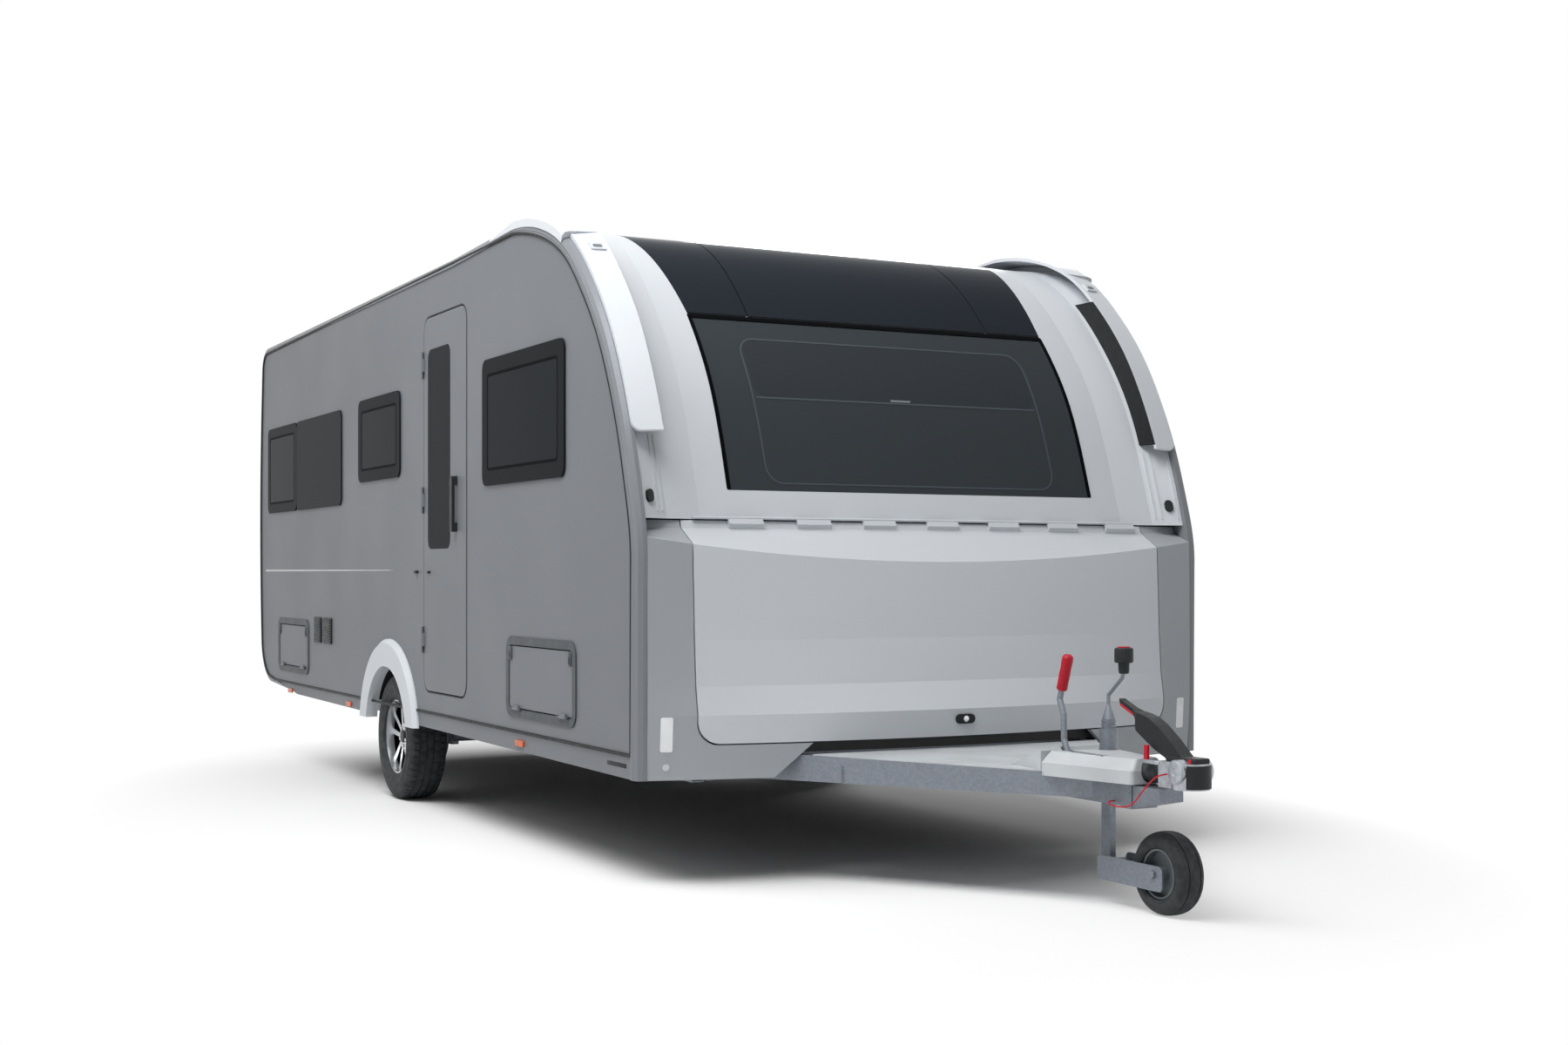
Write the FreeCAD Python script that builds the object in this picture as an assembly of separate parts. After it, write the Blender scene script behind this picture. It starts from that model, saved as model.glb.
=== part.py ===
import FreeCAD, Part
import os
from math import cos, pi, sin, tan

# Travel caravan with one axle, parked on its jockey wheel.
# Lengths are in millimetres, +X points forward to the coupling, +Y to the left and +Z up.
# The origin is on the ground under the middle of the overall box.

V = FreeCAD.Vector
AXIS_X = V(1, 0, 0)
AXIS_Y = V(0, 1, 0)
AXIS_Z = V(0, 0, 1)
SIDES = (-1, 1)

# Driving dimensions of the whole vehicle
overall_length = 7314.0
drawbar_length = 1497.0
body_width = 2460.0
roof_z = 2507.0
skirt_bottom_z = 376.0
rear_skirt_z = 403.0
floor_bottom_z = 460.0
tyre_radius = 302.0
tyre_width = 185.0
axle_share = 0.4826

half_length = overall_length / 2
half_width = body_width / 2
rear_x = -half_length
body_front_x = half_length - drawbar_length
body_length = body_front_x - rear_x
axle_x = rear_x + axle_share * body_length
hub_z = tyre_radius
full_turn_deg = 360.0

# Running clearances and one overrun shared by all pieces
door_gap = 5.0
pin_gap = 0.3
groove = 3.0
cut_overrun = 20.0

# Walls, floor and edge sections
wall_thickness = 30.0
floor_thickness = 45.0
trim_width = 55.0
trim_proud = 6.0
trim_depth = 41.0
trim_round = 26.0
trim_bevel_share = 0.3
trim_groove_shares = (0.5, 0.75)
trim_groove_depth = 2.5
roof_trim_share = 0.7
skin_drop = 24.0
floor_top_z = floor_bottom_z + floor_thickness
wall_inner_y = half_width - wall_thickness
trim_outer_y = half_width + trim_proud
trim_inner_y = trim_outer_y - trim_depth

# Side outline, from the foot of the front edge over the roof to the foot of the rear
belt_share = 0.3491
front_foot_setback = 5.0
front_curve_run = 1260.0
front_curve_back_shares = (0.0, 0.010, 0.040, 0.090, 0.158, 0.257, 0.406, 0.506, 0.700, 1.0)
front_curve_up_shares = (0.0, 0.105, 0.204, 0.342, 0.482, 0.635, 0.790, 0.869, 0.955, 1.0)
roof_mid_share = 0.6476
roof_mid_drop = 24.0
roof_rear_drop = 47.0
rear_corner_reach = 207.0
rear_corner_fall = 150.0
rear_corner_bow_share = 0.72
rear_top_setback = 57.0
rear_bulge_share = 0.4416
rear_foot_setback = 36.0
rear_foot_share = 0.0754
rear_heel_reach = 277.0
rear_heel_rise = 34.0
rear_heel_bow_share = 0.66
rear_low_reach = 942.0
belt_z = skirt_bottom_z + belt_share * (roof_z - skirt_bottom_z)


def along(share):
    """A place along the body, from its rear to its front."""
    return rear_x + share * body_length


def up(share):
    """A height in the cabin, from the floor's top to the roof's."""
    return floor_top_z + share * (roof_z - floor_top_z)


def span(shares):
    """An upright area on a side wall as (rear x, front x, low z, high z)."""
    rear, front, low, high = shares
    return (along(rear), along(front), up(low), up(high))


def part_of(area, shares):
    """An area inside another one, by shares of its length and height."""
    x0, x1, z0, z1 = area
    rear, front, low, high = shares
    return (x0 + rear * (x1 - x0), x0 + front * (x1 - x0), z0 + low * (z1 - z0), z0 + high * (z1 - z0))


def front_place(back, rise):
    """A place in the front curve's box, by shares of its run and its height, as (x, z)."""
    return (body_front_x - back * front_curve_run, belt_z + rise * (roof_z - belt_z))


def turned(shape, degrees, axis=AXIS_Z, centre=V(0, 0, 0)):
    """The shape turned about an axis through the centre."""
    copy = shape.copy()
    copy.rotate(centre, axis, degrees)
    return copy


def moved(shape, x, y, z):
    """The shape moved by the given distances."""
    copy = shape.copy()
    copy.translate(V(x, y, z))
    return copy


def mirrored_y(shape):
    """The shape mirrored to the other side of the vehicle."""
    return shape.mirror(V(0, 0, 0), AXIS_Y)


def both_sides(shape):
    """A right-hand shape and its mirror image in one compound."""
    return Part.makeCompound(shape.Solids + mirrored_y(shape).Solids)


def block(x0, x1, y0, y1, z0, z1):
    """A box between two corners."""
    return Part.makeBox(x1 - x0, y1 - y0, z1 - z0, V(x0, y0, z0))


def rod(start, end, radius):
    """A round bar from one point to another."""
    axis = end - start
    return Part.makeCylinder(radius, axis.Length, start, axis)


def prism(points, direction):
    """A straight prism over a flat outline of points."""
    wire = Part.makePolygon(list(points) + [points[0]])
    return Part.Face(wire).extrude(direction)


def prism_y(points, y0, y1):
    """A prism along Y over points given as (x, z)."""
    return prism([V(x, y0, z) for x, z in points], V(0, y1 - y0, 0))


def slab_y(area, y0, y1):
    """A plain plate in the side plane over an area (rear x, front x, low z, high z)."""
    x0, x1, z0, z1 = area
    return block(x0, x1, min(y0, y1), max(y0, y1), z0, z1)


def rounded_y(area, radius, y0, y1):
    """A plate in the side plane with round corners."""
    plate = slab_y(area, y0, y1)
    corners = [edge for edge in plate.Edges if edge.Vertexes[0].X == edge.Vertexes[-1].X
               and edge.Vertexes[0].Z == edge.Vertexes[-1].Z]
    return plate.makeFillet(radius, corners)


def rounded_x(half, z0, z1, radius, x0, x1):
    """A plate across the vehicle with round corners."""
    plate = block(x0, x1, -half, half, z0, z1)
    corners = [edge for edge in plate.Edges if edge.Vertexes[0].Y == edge.Vertexes[-1].Y
               and edge.Vertexes[0].Z == edge.Vertexes[-1].Z]
    return plate.makeFillet(radius, corners)


def fused(shapes):
    """One solid made of overlapping shapes."""
    body = shapes[0]
    for shape in shapes[1:]:
        body = body.fuse(shape)
    return body.removeSplitter()


def arc(a, b, c):
    """An edge along the circle through three points."""
    return Part.Arc(a, b, c).toShape()


def line(a, b):
    """A straight edge."""
    return Part.LineSegment(a, b).toShape()


def spline(points):
    """A smooth edge through the points."""
    curve = Part.BSplineCurve()
    curve.interpolate(points)
    return curve.toShape()


def rounded_ring(points, radius):
    """A closed wire over flat corner points, with every corner rounded."""
    corners = []
    for i, corner in enumerate(points):
        before = points[i - 1] - corner
        after = points[(i + 1) % len(points)] - corner
        half_angle = before.getAngle(after) / 2
        before.normalize()
        after.normalize()
        setback = radius / tan(half_angle)
        inward = before + after
        inward.normalize()
        middle = corner + inward * (radius / sin(half_angle) - radius)
        corners.append((corner + before * setback, middle, corner + after * setback))
    edges = []
    for i, (start, middle, end) in enumerate(corners):
        edges += [arc(start, middle, end), line(end, corners[(i + 1) % len(corners)][0])]
    return Part.Wire(edges)


def front_curve_points():
    """Points of the curved front edge as (x, z), from the belt line up to the roof."""
    return [front_place(back, rise) for back, rise in zip(front_curve_back_shares, front_curve_up_shares)]


def outline_rows():
    """All points of the side outline as (x, z, share of the trim's width there)."""
    front = [(body_front_x - front_foot_setback, skirt_bottom_z, 1.0)]
    front += [(x, z, 1.0) for x, z in front_curve_points()[:-1]]
    roof_front = front_curve_points()[-1]
    corner_x = rear_x + rear_corner_reach
    top_z = roof_z - roof_rear_drop
    fall_z = top_z - rear_corner_fall
    side_x = rear_x + rear_top_setback
    bow = rear_corner_bow_share
    heel_x = rear_x + rear_heel_reach
    heel_z = rear_skirt_z + rear_heel_rise
    foot_x = rear_x + rear_foot_setback
    foot_z = up(rear_foot_share)
    heel = rear_heel_bow_share
    share = roof_trim_share
    return front + [
        (roof_front[0], roof_front[1], share),
        (along(roof_mid_share), roof_z - roof_mid_drop, share),
        (corner_x, top_z, share),
        (corner_x + (side_x - corner_x) * bow, top_z + (fall_z - top_z) * (1 - bow), share),
        (side_x, fall_z, share),
        (rear_x, up(rear_bulge_share), share),
        (foot_x, foot_z, share),
        (foot_x + (heel_x - foot_x) * (1 - heel), foot_z + (heel_z - foot_z) * heel, share),
        (heel_x, heel_z, share),
        (rear_x + rear_low_reach, rear_skirt_z, 0.0),
    ]


def outward(rows, i):
    """The direction square to the outline at one of its points."""
    before = rows[max(i - 1, 0)]
    after = rows[min(i + 1, len(rows) - 1)]
    run = V(after[0] - before[0], 0, after[1] - before[1])
    run.normalize()
    return V(run.z, 0, -run.x)


def outline(inset=0.0, trim=False, y=0.0):
    """The closed side outline moved inwards, in a plane of constant y."""
    rows = outline_rows()
    points = []
    for i, (x, z, share) in enumerate(rows):
        step = inset * (share if trim else 1.0)
        points.append(V(x, y, z) - outward(rows, i) * step)
    count = len(front_curve_back_shares)
    roof = points[count + 1:]
    edges = [line(points[0], points[1]), spline(points[1:count + 1])]
    edges += [line(points[count], roof[0]), line(roof[0], roof[1]), arc(roof[1], roof[2], roof[3])]
    edges += [arc(roof[3], roof[4], roof[5]), arc(roof[5], roof[6], roof[7])]
    edges += [line(roof[7], roof[8]), line(roof[8], points[0])]
    return Part.Wire(edges)


def outline_prism(inset, y0, y1, trim=False):
    """The side outline moved inwards and given a width along Y."""
    return Part.Face(outline(inset, trim, y0)).extrude(V(0, y1 - y0, 0))


# Windows, doors and hatches in the side walls, by shares of the body's length and the cabin's height
corner_radius = 45.0
pane_thickness = 8.0
pane_lap = 22.0
blind_thickness = 6.0
blind_setback = 16.0
front_window_shares = (0.7205, 0.8822, 0.4775, 0.7413)
middle_window_shares = (0.3887, 0.5137, 0.5245, 0.7313)
rear_window_shares = (0.0426, 0.3306, 0.4730, 0.7243)
rear_window_split_share = 0.1645
left_kitchen_shares = (0.5393, 0.6940, 0.4775, 0.7413)
front_window_area = span(front_window_shares)
middle_window_area = span(middle_window_shares)
rear_window_area = span(rear_window_shares)
left_kitchen_area = span(left_kitchen_shares)

door_shares = (0.5769, 0.6818, 0.0250, 0.8781)
door_glass_shares = (0.10, 0.636, 0.3806, 0.9122)
door_radius = 70.0
door_area = span(door_shares)
door_glass_area = part_of(door_area, door_glass_shares)

front_hatch_shares = (0.7702, 0.9013, 0.0060, 0.1683)
rear_hatch_shares = (0.0858, 0.2096, 0.0100, 0.1638)
left_hatch_shares = (0.2419, 0.3072, 0.0275, 0.2173)
hatch_border = 34.0
hatch_proud = 6.0
hatch_radius = 24.0
front_hatch_area = span(front_hatch_shares)
rear_hatch_area = span(rear_hatch_shares)
left_hatch_area = span(left_hatch_shares)

hinge_radius = 5.0
hinge_length = 60.0
leaf_thickness = 3.0

arch_gap = 50.0
arch_width = 123.0
arch_proud = 28.0
arch_lip = 10.0
arch_chamfer = 20.0
wheel_arch_radius = tyre_radius + arch_gap
arch_outer_radius = wheel_arch_radius + arch_width

right_windows = (front_window_area, middle_window_area, rear_window_area)
left_windows = (front_window_area, left_kitchen_area, rear_window_area)
right_hatches = (front_hatch_area, rear_hatch_area)
left_hatches = (left_hatch_area,)


def shrunk(area, by):
    """An area made smaller by the same amount on each edge."""
    x0, x1, z0, z1 = area
    return (x0 + by, x1 - by, z0 + by, z1 - by)


def wall_cut(area, side, radius):
    """A hole right through a side wall."""
    return rounded_y(area, radius, side * (wall_inner_y - cut_overrun), side * (half_width + cut_overrun))


def arch_cylinder(radius, side, y0, y1):
    """A disc round the wheel's axis between two distances from the centre plane."""
    return rod(V(axle_x, side * y0, hub_z), V(axle_x, side * y1, hub_z), radius)


def side_panel(side):
    """The whole flat side between the trims, before it is parted into wall and skirt."""
    y0, y1 = sorted((side * wall_inner_y, side * half_width))
    panel = outline_prism(trim_width, y0, y1, trim=True)
    return panel.cut(arch_cylinder(wheel_arch_radius, side, wall_inner_y - cut_overrun,
                                   half_width + cut_overrun))


def side_wall(side, windows, hatches):
    """One side wall with its window, door and hatch holes."""
    panel = side_panel(side)
    panel = panel.cut(block(rear_x, half_length, -body_width, body_width, 0, floor_bottom_z))
    for area in windows:
        panel = panel.cut(wall_cut(shrunk(area, pane_lap), side, corner_radius))
    for area in hatches:
        panel = panel.cut(wall_cut(area, side, hatch_radius + hatch_border))
    if side < 0:
        panel = panel.cut(wall_cut(door_area, side, door_radius))
    return panel


def skirts():
    """The rails along the foot of both sides, before and behind the wheels."""
    low = block(rear_x, half_length, -body_width, body_width, 0, floor_bottom_z - groove)
    return both_sides(side_panel(-1).common(low))


def trim_groove(share):
    """A fine groove along the face of an edge section."""
    inset = trim_width * share
    deep = -trim_outer_y + trim_groove_depth
    outer = outline_prism(inset, -trim_outer_y - cut_overrun, deep, trim=True)
    inner = outline_prism(inset + groove, -trim_outer_y - cut_overrun * 2, deep + cut_overrun, trim=True)
    return outer.cut(inner)


def side_trims():
    """The rounded and grooved edge sections round the front, roof and rear of both sides."""
    bevel = trim_round * trim_bevel_share
    rings = ((0.0, trim_inner_y), (0.0, trim_outer_y - trim_round), (bevel, trim_outer_y - bevel),
             (trim_round, trim_outer_y))
    wires = [outline(inset, y=-y) for inset, y in rings]
    ring = Part.makeLoft(wires, True, True)
    ring = ring.cut(outline_prism(trim_width, -trim_outer_y - cut_overrun, -trim_inner_y + cut_overrun,
                                  trim=True))
    for share in trim_groove_shares:
        ring = ring.cut(trim_groove(share))
    foot = block(rear_x + rear_low_reach, body_front_x - trim_width - front_foot_setback, -trim_outer_y,
                 -trim_inner_y, 0, floor_bottom_z)
    return both_sides(ring.cut(foot))


def skin_band():
    """The skin across the vehicle between the trims, all the way round the outline."""
    outer = outline_prism(skin_drop, -trim_inner_y, trim_inner_y)
    inner = outline_prism(skin_drop + wall_thickness, -trim_inner_y - cut_overrun, trim_inner_y + cut_overrun)
    return outer.cut(inner)


# Roof and rooflights
roof_front_shares = (0.9286, 0.9777)
rooflight_shares = (0.5169, 0.1731)
rooflight_hole = 400.0
rooflight_border = 35.0
rooflight_height = 34.0
rooflight_lid_height = 36.0
rooflight_lid_lap = 20.0
rooflight_dome_share = 0.8
rooflight_radius = 30.0
roof_front_x, shell_top_z = front_place(*roof_front_shares)
roof_rear_x = rear_x + rear_corner_reach
rooflight_places = [along(share) for share in rooflight_shares]
rooflight_outer = rooflight_hole / 2 + rooflight_border


def roof_top_z(x):
    """Height of the roof skin at a place behind its highest point."""
    mid_x = along(roof_mid_share)
    share = (mid_x - x) / (mid_x - roof_rear_x)
    return roof_z - roof_mid_drop - (roof_rear_drop - roof_mid_drop) * share - skin_drop


def roof_panel():
    """The roof skin with the holes of its rooflights."""
    low = roof_z - half_width
    roof = skin_band().common(block(roof_rear_x, roof_front_x, -half_width, half_width, low, roof_z))
    half = rooflight_hole / 2
    for x in rooflight_places:
        roof = roof.cut(block(x - half, x + half, -half, half, low, roof_z + cut_overrun))
    return roof


def rooflight_axis(x):
    """Where the hinge of a rooflight lies, as (x, z)."""
    return (x - rooflight_outer - rooflight_lid_lap - hinge_radius * 2,
            roof_top_z(x + rooflight_outer) + rooflight_height + hinge_radius)


def rooflight_frame(x):
    """A raised square frame on the roof, with the fixed half of its hinge."""
    half = rooflight_hole / 2
    outer = rooflight_outer
    base = roof_top_z(x + outer)
    top = base + rooflight_height
    frame = block(x - outer, x + outer, -outer, outer, roof_top_z(x) - wall_thickness / 2, top)
    frame = frame.cut(skin_band())
    frame = frame.common(block(x - outer, x + outer, -outer, outer, roof_top_z(x - outer) - hinge_radius, top))
    frame = frame.cut(block(x - half, x + half, -half, half, base - wall_thickness * 2, top + cut_overrun))
    pieces = [frame]
    hinge_x, hinge_z = rooflight_axis(x)
    low = hinge_z - hinge_radius * 2
    for y in (-hinge_length * 2, hinge_length):
        end = y + hinge_length
        pieces.append(rod(V(hinge_x, y, hinge_z), V(hinge_x, end, hinge_z), hinge_radius))
        pieces.append(block(hinge_x, x - outer, y, end, low, top))
        pieces.append(block(hinge_x - hinge_radius, hinge_x + hinge_radius, y, end, low, hinge_z))
    return fused(pieces)


def rooflight_lid(x):
    """A domed lid over a rooflight with its half of the hinge."""
    outer = rooflight_outer + rooflight_lid_lap
    low = roof_top_z(x + rooflight_outer) + rooflight_height + door_gap
    inner = outer * rooflight_dome_share
    wires = []
    for reach, z in ((outer, low), (outer, low + rooflight_lid_height / 2), (inner, low + rooflight_lid_height)):
        corners = [V(x - reach, -reach, z), V(x + reach, -reach, z), V(x + reach, reach, z), V(x - reach, reach, z)]
        wires.append(rounded_ring(corners, rooflight_radius))
    dome = Part.makeLoft(wires, True, True)
    hinge_x, hinge_z = rooflight_axis(x)
    y0 = -hinge_length + pin_gap
    y1 = hinge_length - pin_gap
    barrel = rod(V(hinge_x, y0, hinge_z), V(hinge_x, y1, hinge_z), hinge_radius)
    leaf = block(hinge_x, x - outer + rooflight_lid_lap, y0, y1, low, hinge_z + hinge_radius)
    return fused([dome, barrel, leaf])


# Rear panel with its window, plate and lamps
rear_glass_width_share = 0.52
rear_glass_low_share = 0.4770
rear_glass_high_share = 0.7218
plate_recess = 8.0
plate_half_width = 270.0
plate_low_share = 0.1998
plate_height = 130.0
lamp_inner_setback = 330.0
lamp_outer_setback = 100.0
lamp_low_share = 0.0974
lamp_high_share = 0.2522
lamp_depth = 26.0
rear_glass_half_width = half_width * rear_glass_width_share
rear_glass_low_z = up(rear_glass_low_share)
rear_glass_high_z = up(rear_glass_high_share)


def rear_panel():
    """The curved rear skin with its window hole."""
    heel_x = rear_x + rear_heel_reach
    area = block(rear_x, roof_rear_x, -half_width, half_width, floor_bottom_z, roof_z)
    area = area.fuse(block(rear_x, heel_x, -half_width, half_width, floor_bottom_z, up(rear_foot_share)))
    panel = skin_band().common(area)
    hole = rounded_x(rear_glass_half_width - pane_lap, rear_glass_low_z + pane_lap,
                     rear_glass_high_z - pane_lap, corner_radius, rear_x, roof_rear_x)
    return panel.cut(hole)


def rear_skin(inset_out, inset_in):
    """A layer that follows the rear panel between two depths from the outline."""
    outer = outline_prism(inset_out, -trim_inner_y, trim_inner_y)
    return outer.cut(outline_prism(inset_in, -half_width, half_width))


def rear_window():
    """The pane over the rear window hole."""
    layer = rear_skin(skin_drop - pane_thickness, skin_drop)
    shape = rounded_x(rear_glass_half_width, rear_glass_low_z, rear_glass_high_z, corner_radius,
                      rear_x - cut_overrun, roof_rear_x)
    return layer.common(shape)


def rear_lamps():
    """The two lamp clusters on the rear panel."""
    layer = rear_skin(skin_drop - lamp_depth / 2, skin_drop)
    lamp = layer.common(block(rear_x - cut_overrun, roof_rear_x, lamp_outer_setback - half_width,
                              lamp_inner_setback - half_width, up(lamp_low_share), up(lamp_high_share)))
    return both_sides(lamp)


def plate_holder():
    """The bare plate below the rear window."""
    layer = rear_skin(skin_drop - plate_recess, skin_drop)
    low = up(plate_low_share)
    return layer.common(block(rear_x - cut_overrun, roof_rear_x, -plate_half_width, plate_half_width, low,
                              low + plate_height))


# Front shell round the window and the skylight
shell_foot_shares = (0.0897, 0.1233)
window_foot_shares = (0.1190, 0.2012)
window_head_shares = (0.3984, 0.6943)
skylight_head_shares = (0.8508, 0.9676)
window_curve_low_shares = (0.19, 0.294)
window_curve_high_shares = (0.42, 0.572)
skylight_curve_shares = (0.453, 0.644)
front_glass_setback = 418.0
skylight_setback = 347.0
skylight_split_low_share = 0.68
skylight_split_high_share = 0.617
skylight_gap = 6.0
glass_thickness = 10.0
shell_thickness = 24.0
shell_flat_setback = 290.0
shell_shoulder_setback = 150.0
shell_shoulder_share = 0.30
shell_side_inset = 22.0
shell_foot_x, shell_foot_z = front_place(*shell_foot_shares)
window_foot_x, window_foot_z = front_place(*window_foot_shares)
window_head_x, window_head_z = front_place(*window_head_shares)
skylight_head_x, skylight_head_z = front_place(*skylight_head_shares)
front_glass_half_width = half_width - front_glass_setback
skylight_half_width = half_width - skylight_setback
shell_flat_half_width = half_width - shell_flat_setback


def between(a, b, share_a, share_b):
    """A place between two others that moves by separate shares in x and z."""
    return (a[0] + (b[0] - a[0]) * share_a, a[1] + (b[1] - a[1]) * share_b)


def shell_centre_points():
    """The front shell's outer line in the middle of the vehicle, as (x, z)."""
    foot = (window_foot_x, window_foot_z)
    head = (window_head_x, window_head_z)
    top = (skylight_head_x, skylight_head_z)
    return [(shell_foot_x, shell_foot_z), foot, between(foot, head, *window_curve_low_shares),
            between(foot, head, *window_curve_high_shares), head, between(head, top, *skylight_curve_shares),
            top, (roof_front_x, shell_top_z - shell_side_inset / 2)]


def outline_x(z):
    """Front edge of the side outline at a height, read from its points."""
    points = front_curve_points()
    for (x0, z0), (x1, z1) in zip(points, points[1:]):
        if z0 <= z <= z1:
            return x0 + (x1 - x0) * (z - z0) / (z1 - z0)
    return points[0][0]


def shell_side_points():
    """The front shell's outer line beside the trims, as (x, z)."""
    points = [(outline_x(z) - shell_side_inset, z) for x, z in shell_centre_points()[:5]]
    rise = front_curve_points()
    points += [(x - shell_side_inset / 2, z - shell_side_inset) for x, z in (rise[-3], rise[-2])]
    points.append((roof_front_x, shell_top_z))
    return points


def shell_section(y, share, depth=0.0):
    """Points of the shell at one distance from the middle, moved inwards by a depth."""
    mixed = [between(a, b, share, share) for a, b in zip(shell_centre_points(), shell_side_points())]
    points = [V(mixed[0][0] - depth, y, mixed[0][1])]
    points += [V(x, y, z) - outward(mixed, i) * depth for i, (x, z) in enumerate(mixed) if i > 0]
    return points


def shell_layer(top_depth, low_depth, half=None):
    """A layer of the front shell between two depths below its outer face."""
    shoulder = half_width - shell_shoulder_setback
    stations = ((-trim_inner_y, 1.0), (-shoulder, shell_shoulder_share), (-shell_flat_half_width, 0.0),
                (shell_flat_half_width, 0.0), (shoulder, shell_shoulder_share), (trim_inner_y, 1.0))
    if half is not None:
        stations = ((-half, 0.0), (half, 0.0))
    wires = []
    for y, share in stations:
        outer = shell_section(y, share, top_depth)
        inner = shell_section(y, share, low_depth)
        wires.append(Part.Wire([spline(outer), line(outer[-1], inner[-1]), spline(inner[::-1]),
                                line(inner[0], outer[0])]))
    return Part.makeLoft(wires, True, True)


def front_glass_area(grow=0.0):
    """The upright wedge that holds the front window, seen from the front."""
    half = front_glass_half_width + grow
    return block(skylight_head_x, half_length, -half, half, window_foot_z - grow, window_head_z + grow)


def skylight_area(grow=0.0):
    """The upright wedge over the skylight, wider at its top."""
    low = front_glass_half_width + grow
    high = skylight_half_width + grow
    x0 = skylight_head_x - grow
    x1 = window_head_x + grow
    points = [V(x0, -high, window_head_z), V(x0, high, window_head_z), V(x1, low, window_head_z),
              V(x1, -low, window_head_z)]
    return prism(points, V(0, 0, roof_z - window_head_z))


def front_shell():
    """The front moulding round the window and skylight, with the fixed knuckles of the lid's hinge."""
    shell = shell_layer(0.0, shell_thickness).cut(block(0, roof_front_x, -half_width, half_width, 0, roof_z))
    seat = shell_layer(-glass_thickness, glass_thickness, half=shell_flat_half_width)
    shell = shell.cut(front_glass_area(-pane_lap)).cut(skylight_area(-pane_lap))
    shell = shell.cut(front_glass_area().common(seat)).cut(skylight_area().common(seat))
    return fused([shell] + lid_hinge_seats())


def front_window():
    """The curved front pane, flush in its seat."""
    return shell_layer(0.0, glass_thickness, half=shell_flat_half_width).common(front_glass_area())


def skylight_panels():
    """The three dark panels over the front window."""
    sheet = shell_layer(0.0, glass_thickness, half=shell_flat_half_width).common(skylight_area())
    half = skylight_gap / 2
    for side in SIDES:
        low = side * front_glass_half_width * skylight_split_low_share
        high = side * skylight_half_width * skylight_split_high_share
        points = [V(skylight_head_x - cut_overrun, high - half, window_head_z),
                  V(skylight_head_x - cut_overrun, high + half, window_head_z),
                  V(window_head_x + cut_overrun, low + half, window_head_z),
                  V(window_head_x + cut_overrun, low - half, window_head_z)]
        sheet = sheet.cut(prism(points, V(0, 0, roof_z - window_head_z)))
    return sheet.cut(block(skylight_head_x, half_length, -half_width, half_width, 0, window_head_z + skylight_gap))


# Wings beside the front window, which run up into the roof caps.
# Each row of a profile gives the distance from the trim's outer face, then how far the outer and
# the inner face stand out of the side outline there.
wing_rows = ((140.0, 31.0, 17.0), (30.0, 14.8, 0.8))
cap_rows = ((140.0, 31.0, 17.0), (30.0, 27.0, 2.0), (6.0, 20.0, -6.0), (-1.0, 8.0, -24.0))
wing_foot_radius = 32.0
wing_first_point = 4
wing_edge_limit = 18.0
cap_tail_share = 0.35
cap_tail_thickness = 4.0
cap_seam_share = 0.3


def wing_wire(inset, outer_proud, inner_proud):
    """One side view of a wing and its cap, at a distance from the trim's outer face."""
    rows = outline_rows()
    last = len(front_curve_back_shares)
    y = inset - trim_outer_y
    outer = []
    inner = []
    for i in range(wing_first_point, last + 1):
        place = V(rows[i][0], y, rows[i][1])
        outer.append(place + outward(rows, i) * outer_proud)
        inner.append(place + outward(rows, i) * inner_proud)
    x, z = between(rows[last], rows[last + 1], cap_tail_share, cap_tail_share)
    tail_low = V(x, y, z + inner_proud)
    tail_top = tail_low + AXIS_Z * cap_tail_thickness
    return Part.Wire([spline(outer), line(outer[-1], tail_top), line(tail_top, tail_low),
                      line(tail_low, inner[-1]), spline(inner[::-1]), line(inner[0], outer[0])])


def behind_seam(gap):
    """All the room behind the seam between a wing and its cap."""
    rows = outline_rows()
    i = len(front_curve_back_shares) - 2
    x, z = between(rows[i], rows[i + 1], cap_seam_share, cap_seam_share)
    square = outward(rows, i)
    backward = V(-square.z, 0, square.x)
    near = V(x, -body_width, z) + backward * gap
    far = near + backward * body_length
    reach = square * front_curve_run
    return prism([near + reach, near - reach, far - reach, far + reach], V(0, body_width, 0))


def front_wings():
    """The blades in front of the corners, with one rounded foot corner, and the roof caps behind them."""
    blade = Part.makeLoft([wing_wire(*row) for row in wing_rows], True, True)
    outer_y = wing_rows[-1][0] - trim_outer_y
    foot = [edge for edge in blade.Edges if edge.Length < wing_edge_limit
            and edge.CenterOfMass.y < outer_y + pin_gap and edge.CenterOfMass.z < window_head_z]
    blade = blade.makeFillet(wing_foot_radius, foot).cut(behind_seam(-groove / 2))
    cap = Part.makeLoft([wing_wire(*row) for row in cap_rows], True, True).common(behind_seam(groove / 2))
    return both_sides(Part.makeCompound([blade, cap]))


# Nose below the window: corner mouldings and the lid of the gas locker.
# Each row gives the height in the middle and at the corners, then the reach there, as shares.
nose_bulge = 175.0
nose_row_shares = (
    (0.0, 0.0, 0.926, -0.057),
    (0.1355, 0.1355, 0.954, -0.023),
    (0.2448, 0.2448, 1.0, 0.011),
    (0.3541, 0.3541, 0.640, 0.011),
    (0.5290, 0.5290, 0.400, 0.011),
    (0.8339, 0.9246, 0.160, -0.011),
    (0.9640, 0.9640, -0.486, -0.560),
    (0.9945, 0.9945, -0.571, -0.617),
)
nose_setback = 170.0
nose_thickness = 24.0
lid_side_setback = 207.0
lid_foot_rise = 40.0
lid_head_drop = 6.0
lid_corner_radius = 80.0
valance_top_share = 0.4894
valance_bottom_share = 0.6098
lid_hinge_reach = 19.0
lid_hinge_rise = 5.0
lid_hinge_share = 0.958
lid_knuckle_count = 14
lid_leaf_reach = 14.0
lid_leaf_fall = 42.0
nose_back_x = body_front_x - nose_setback
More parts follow.
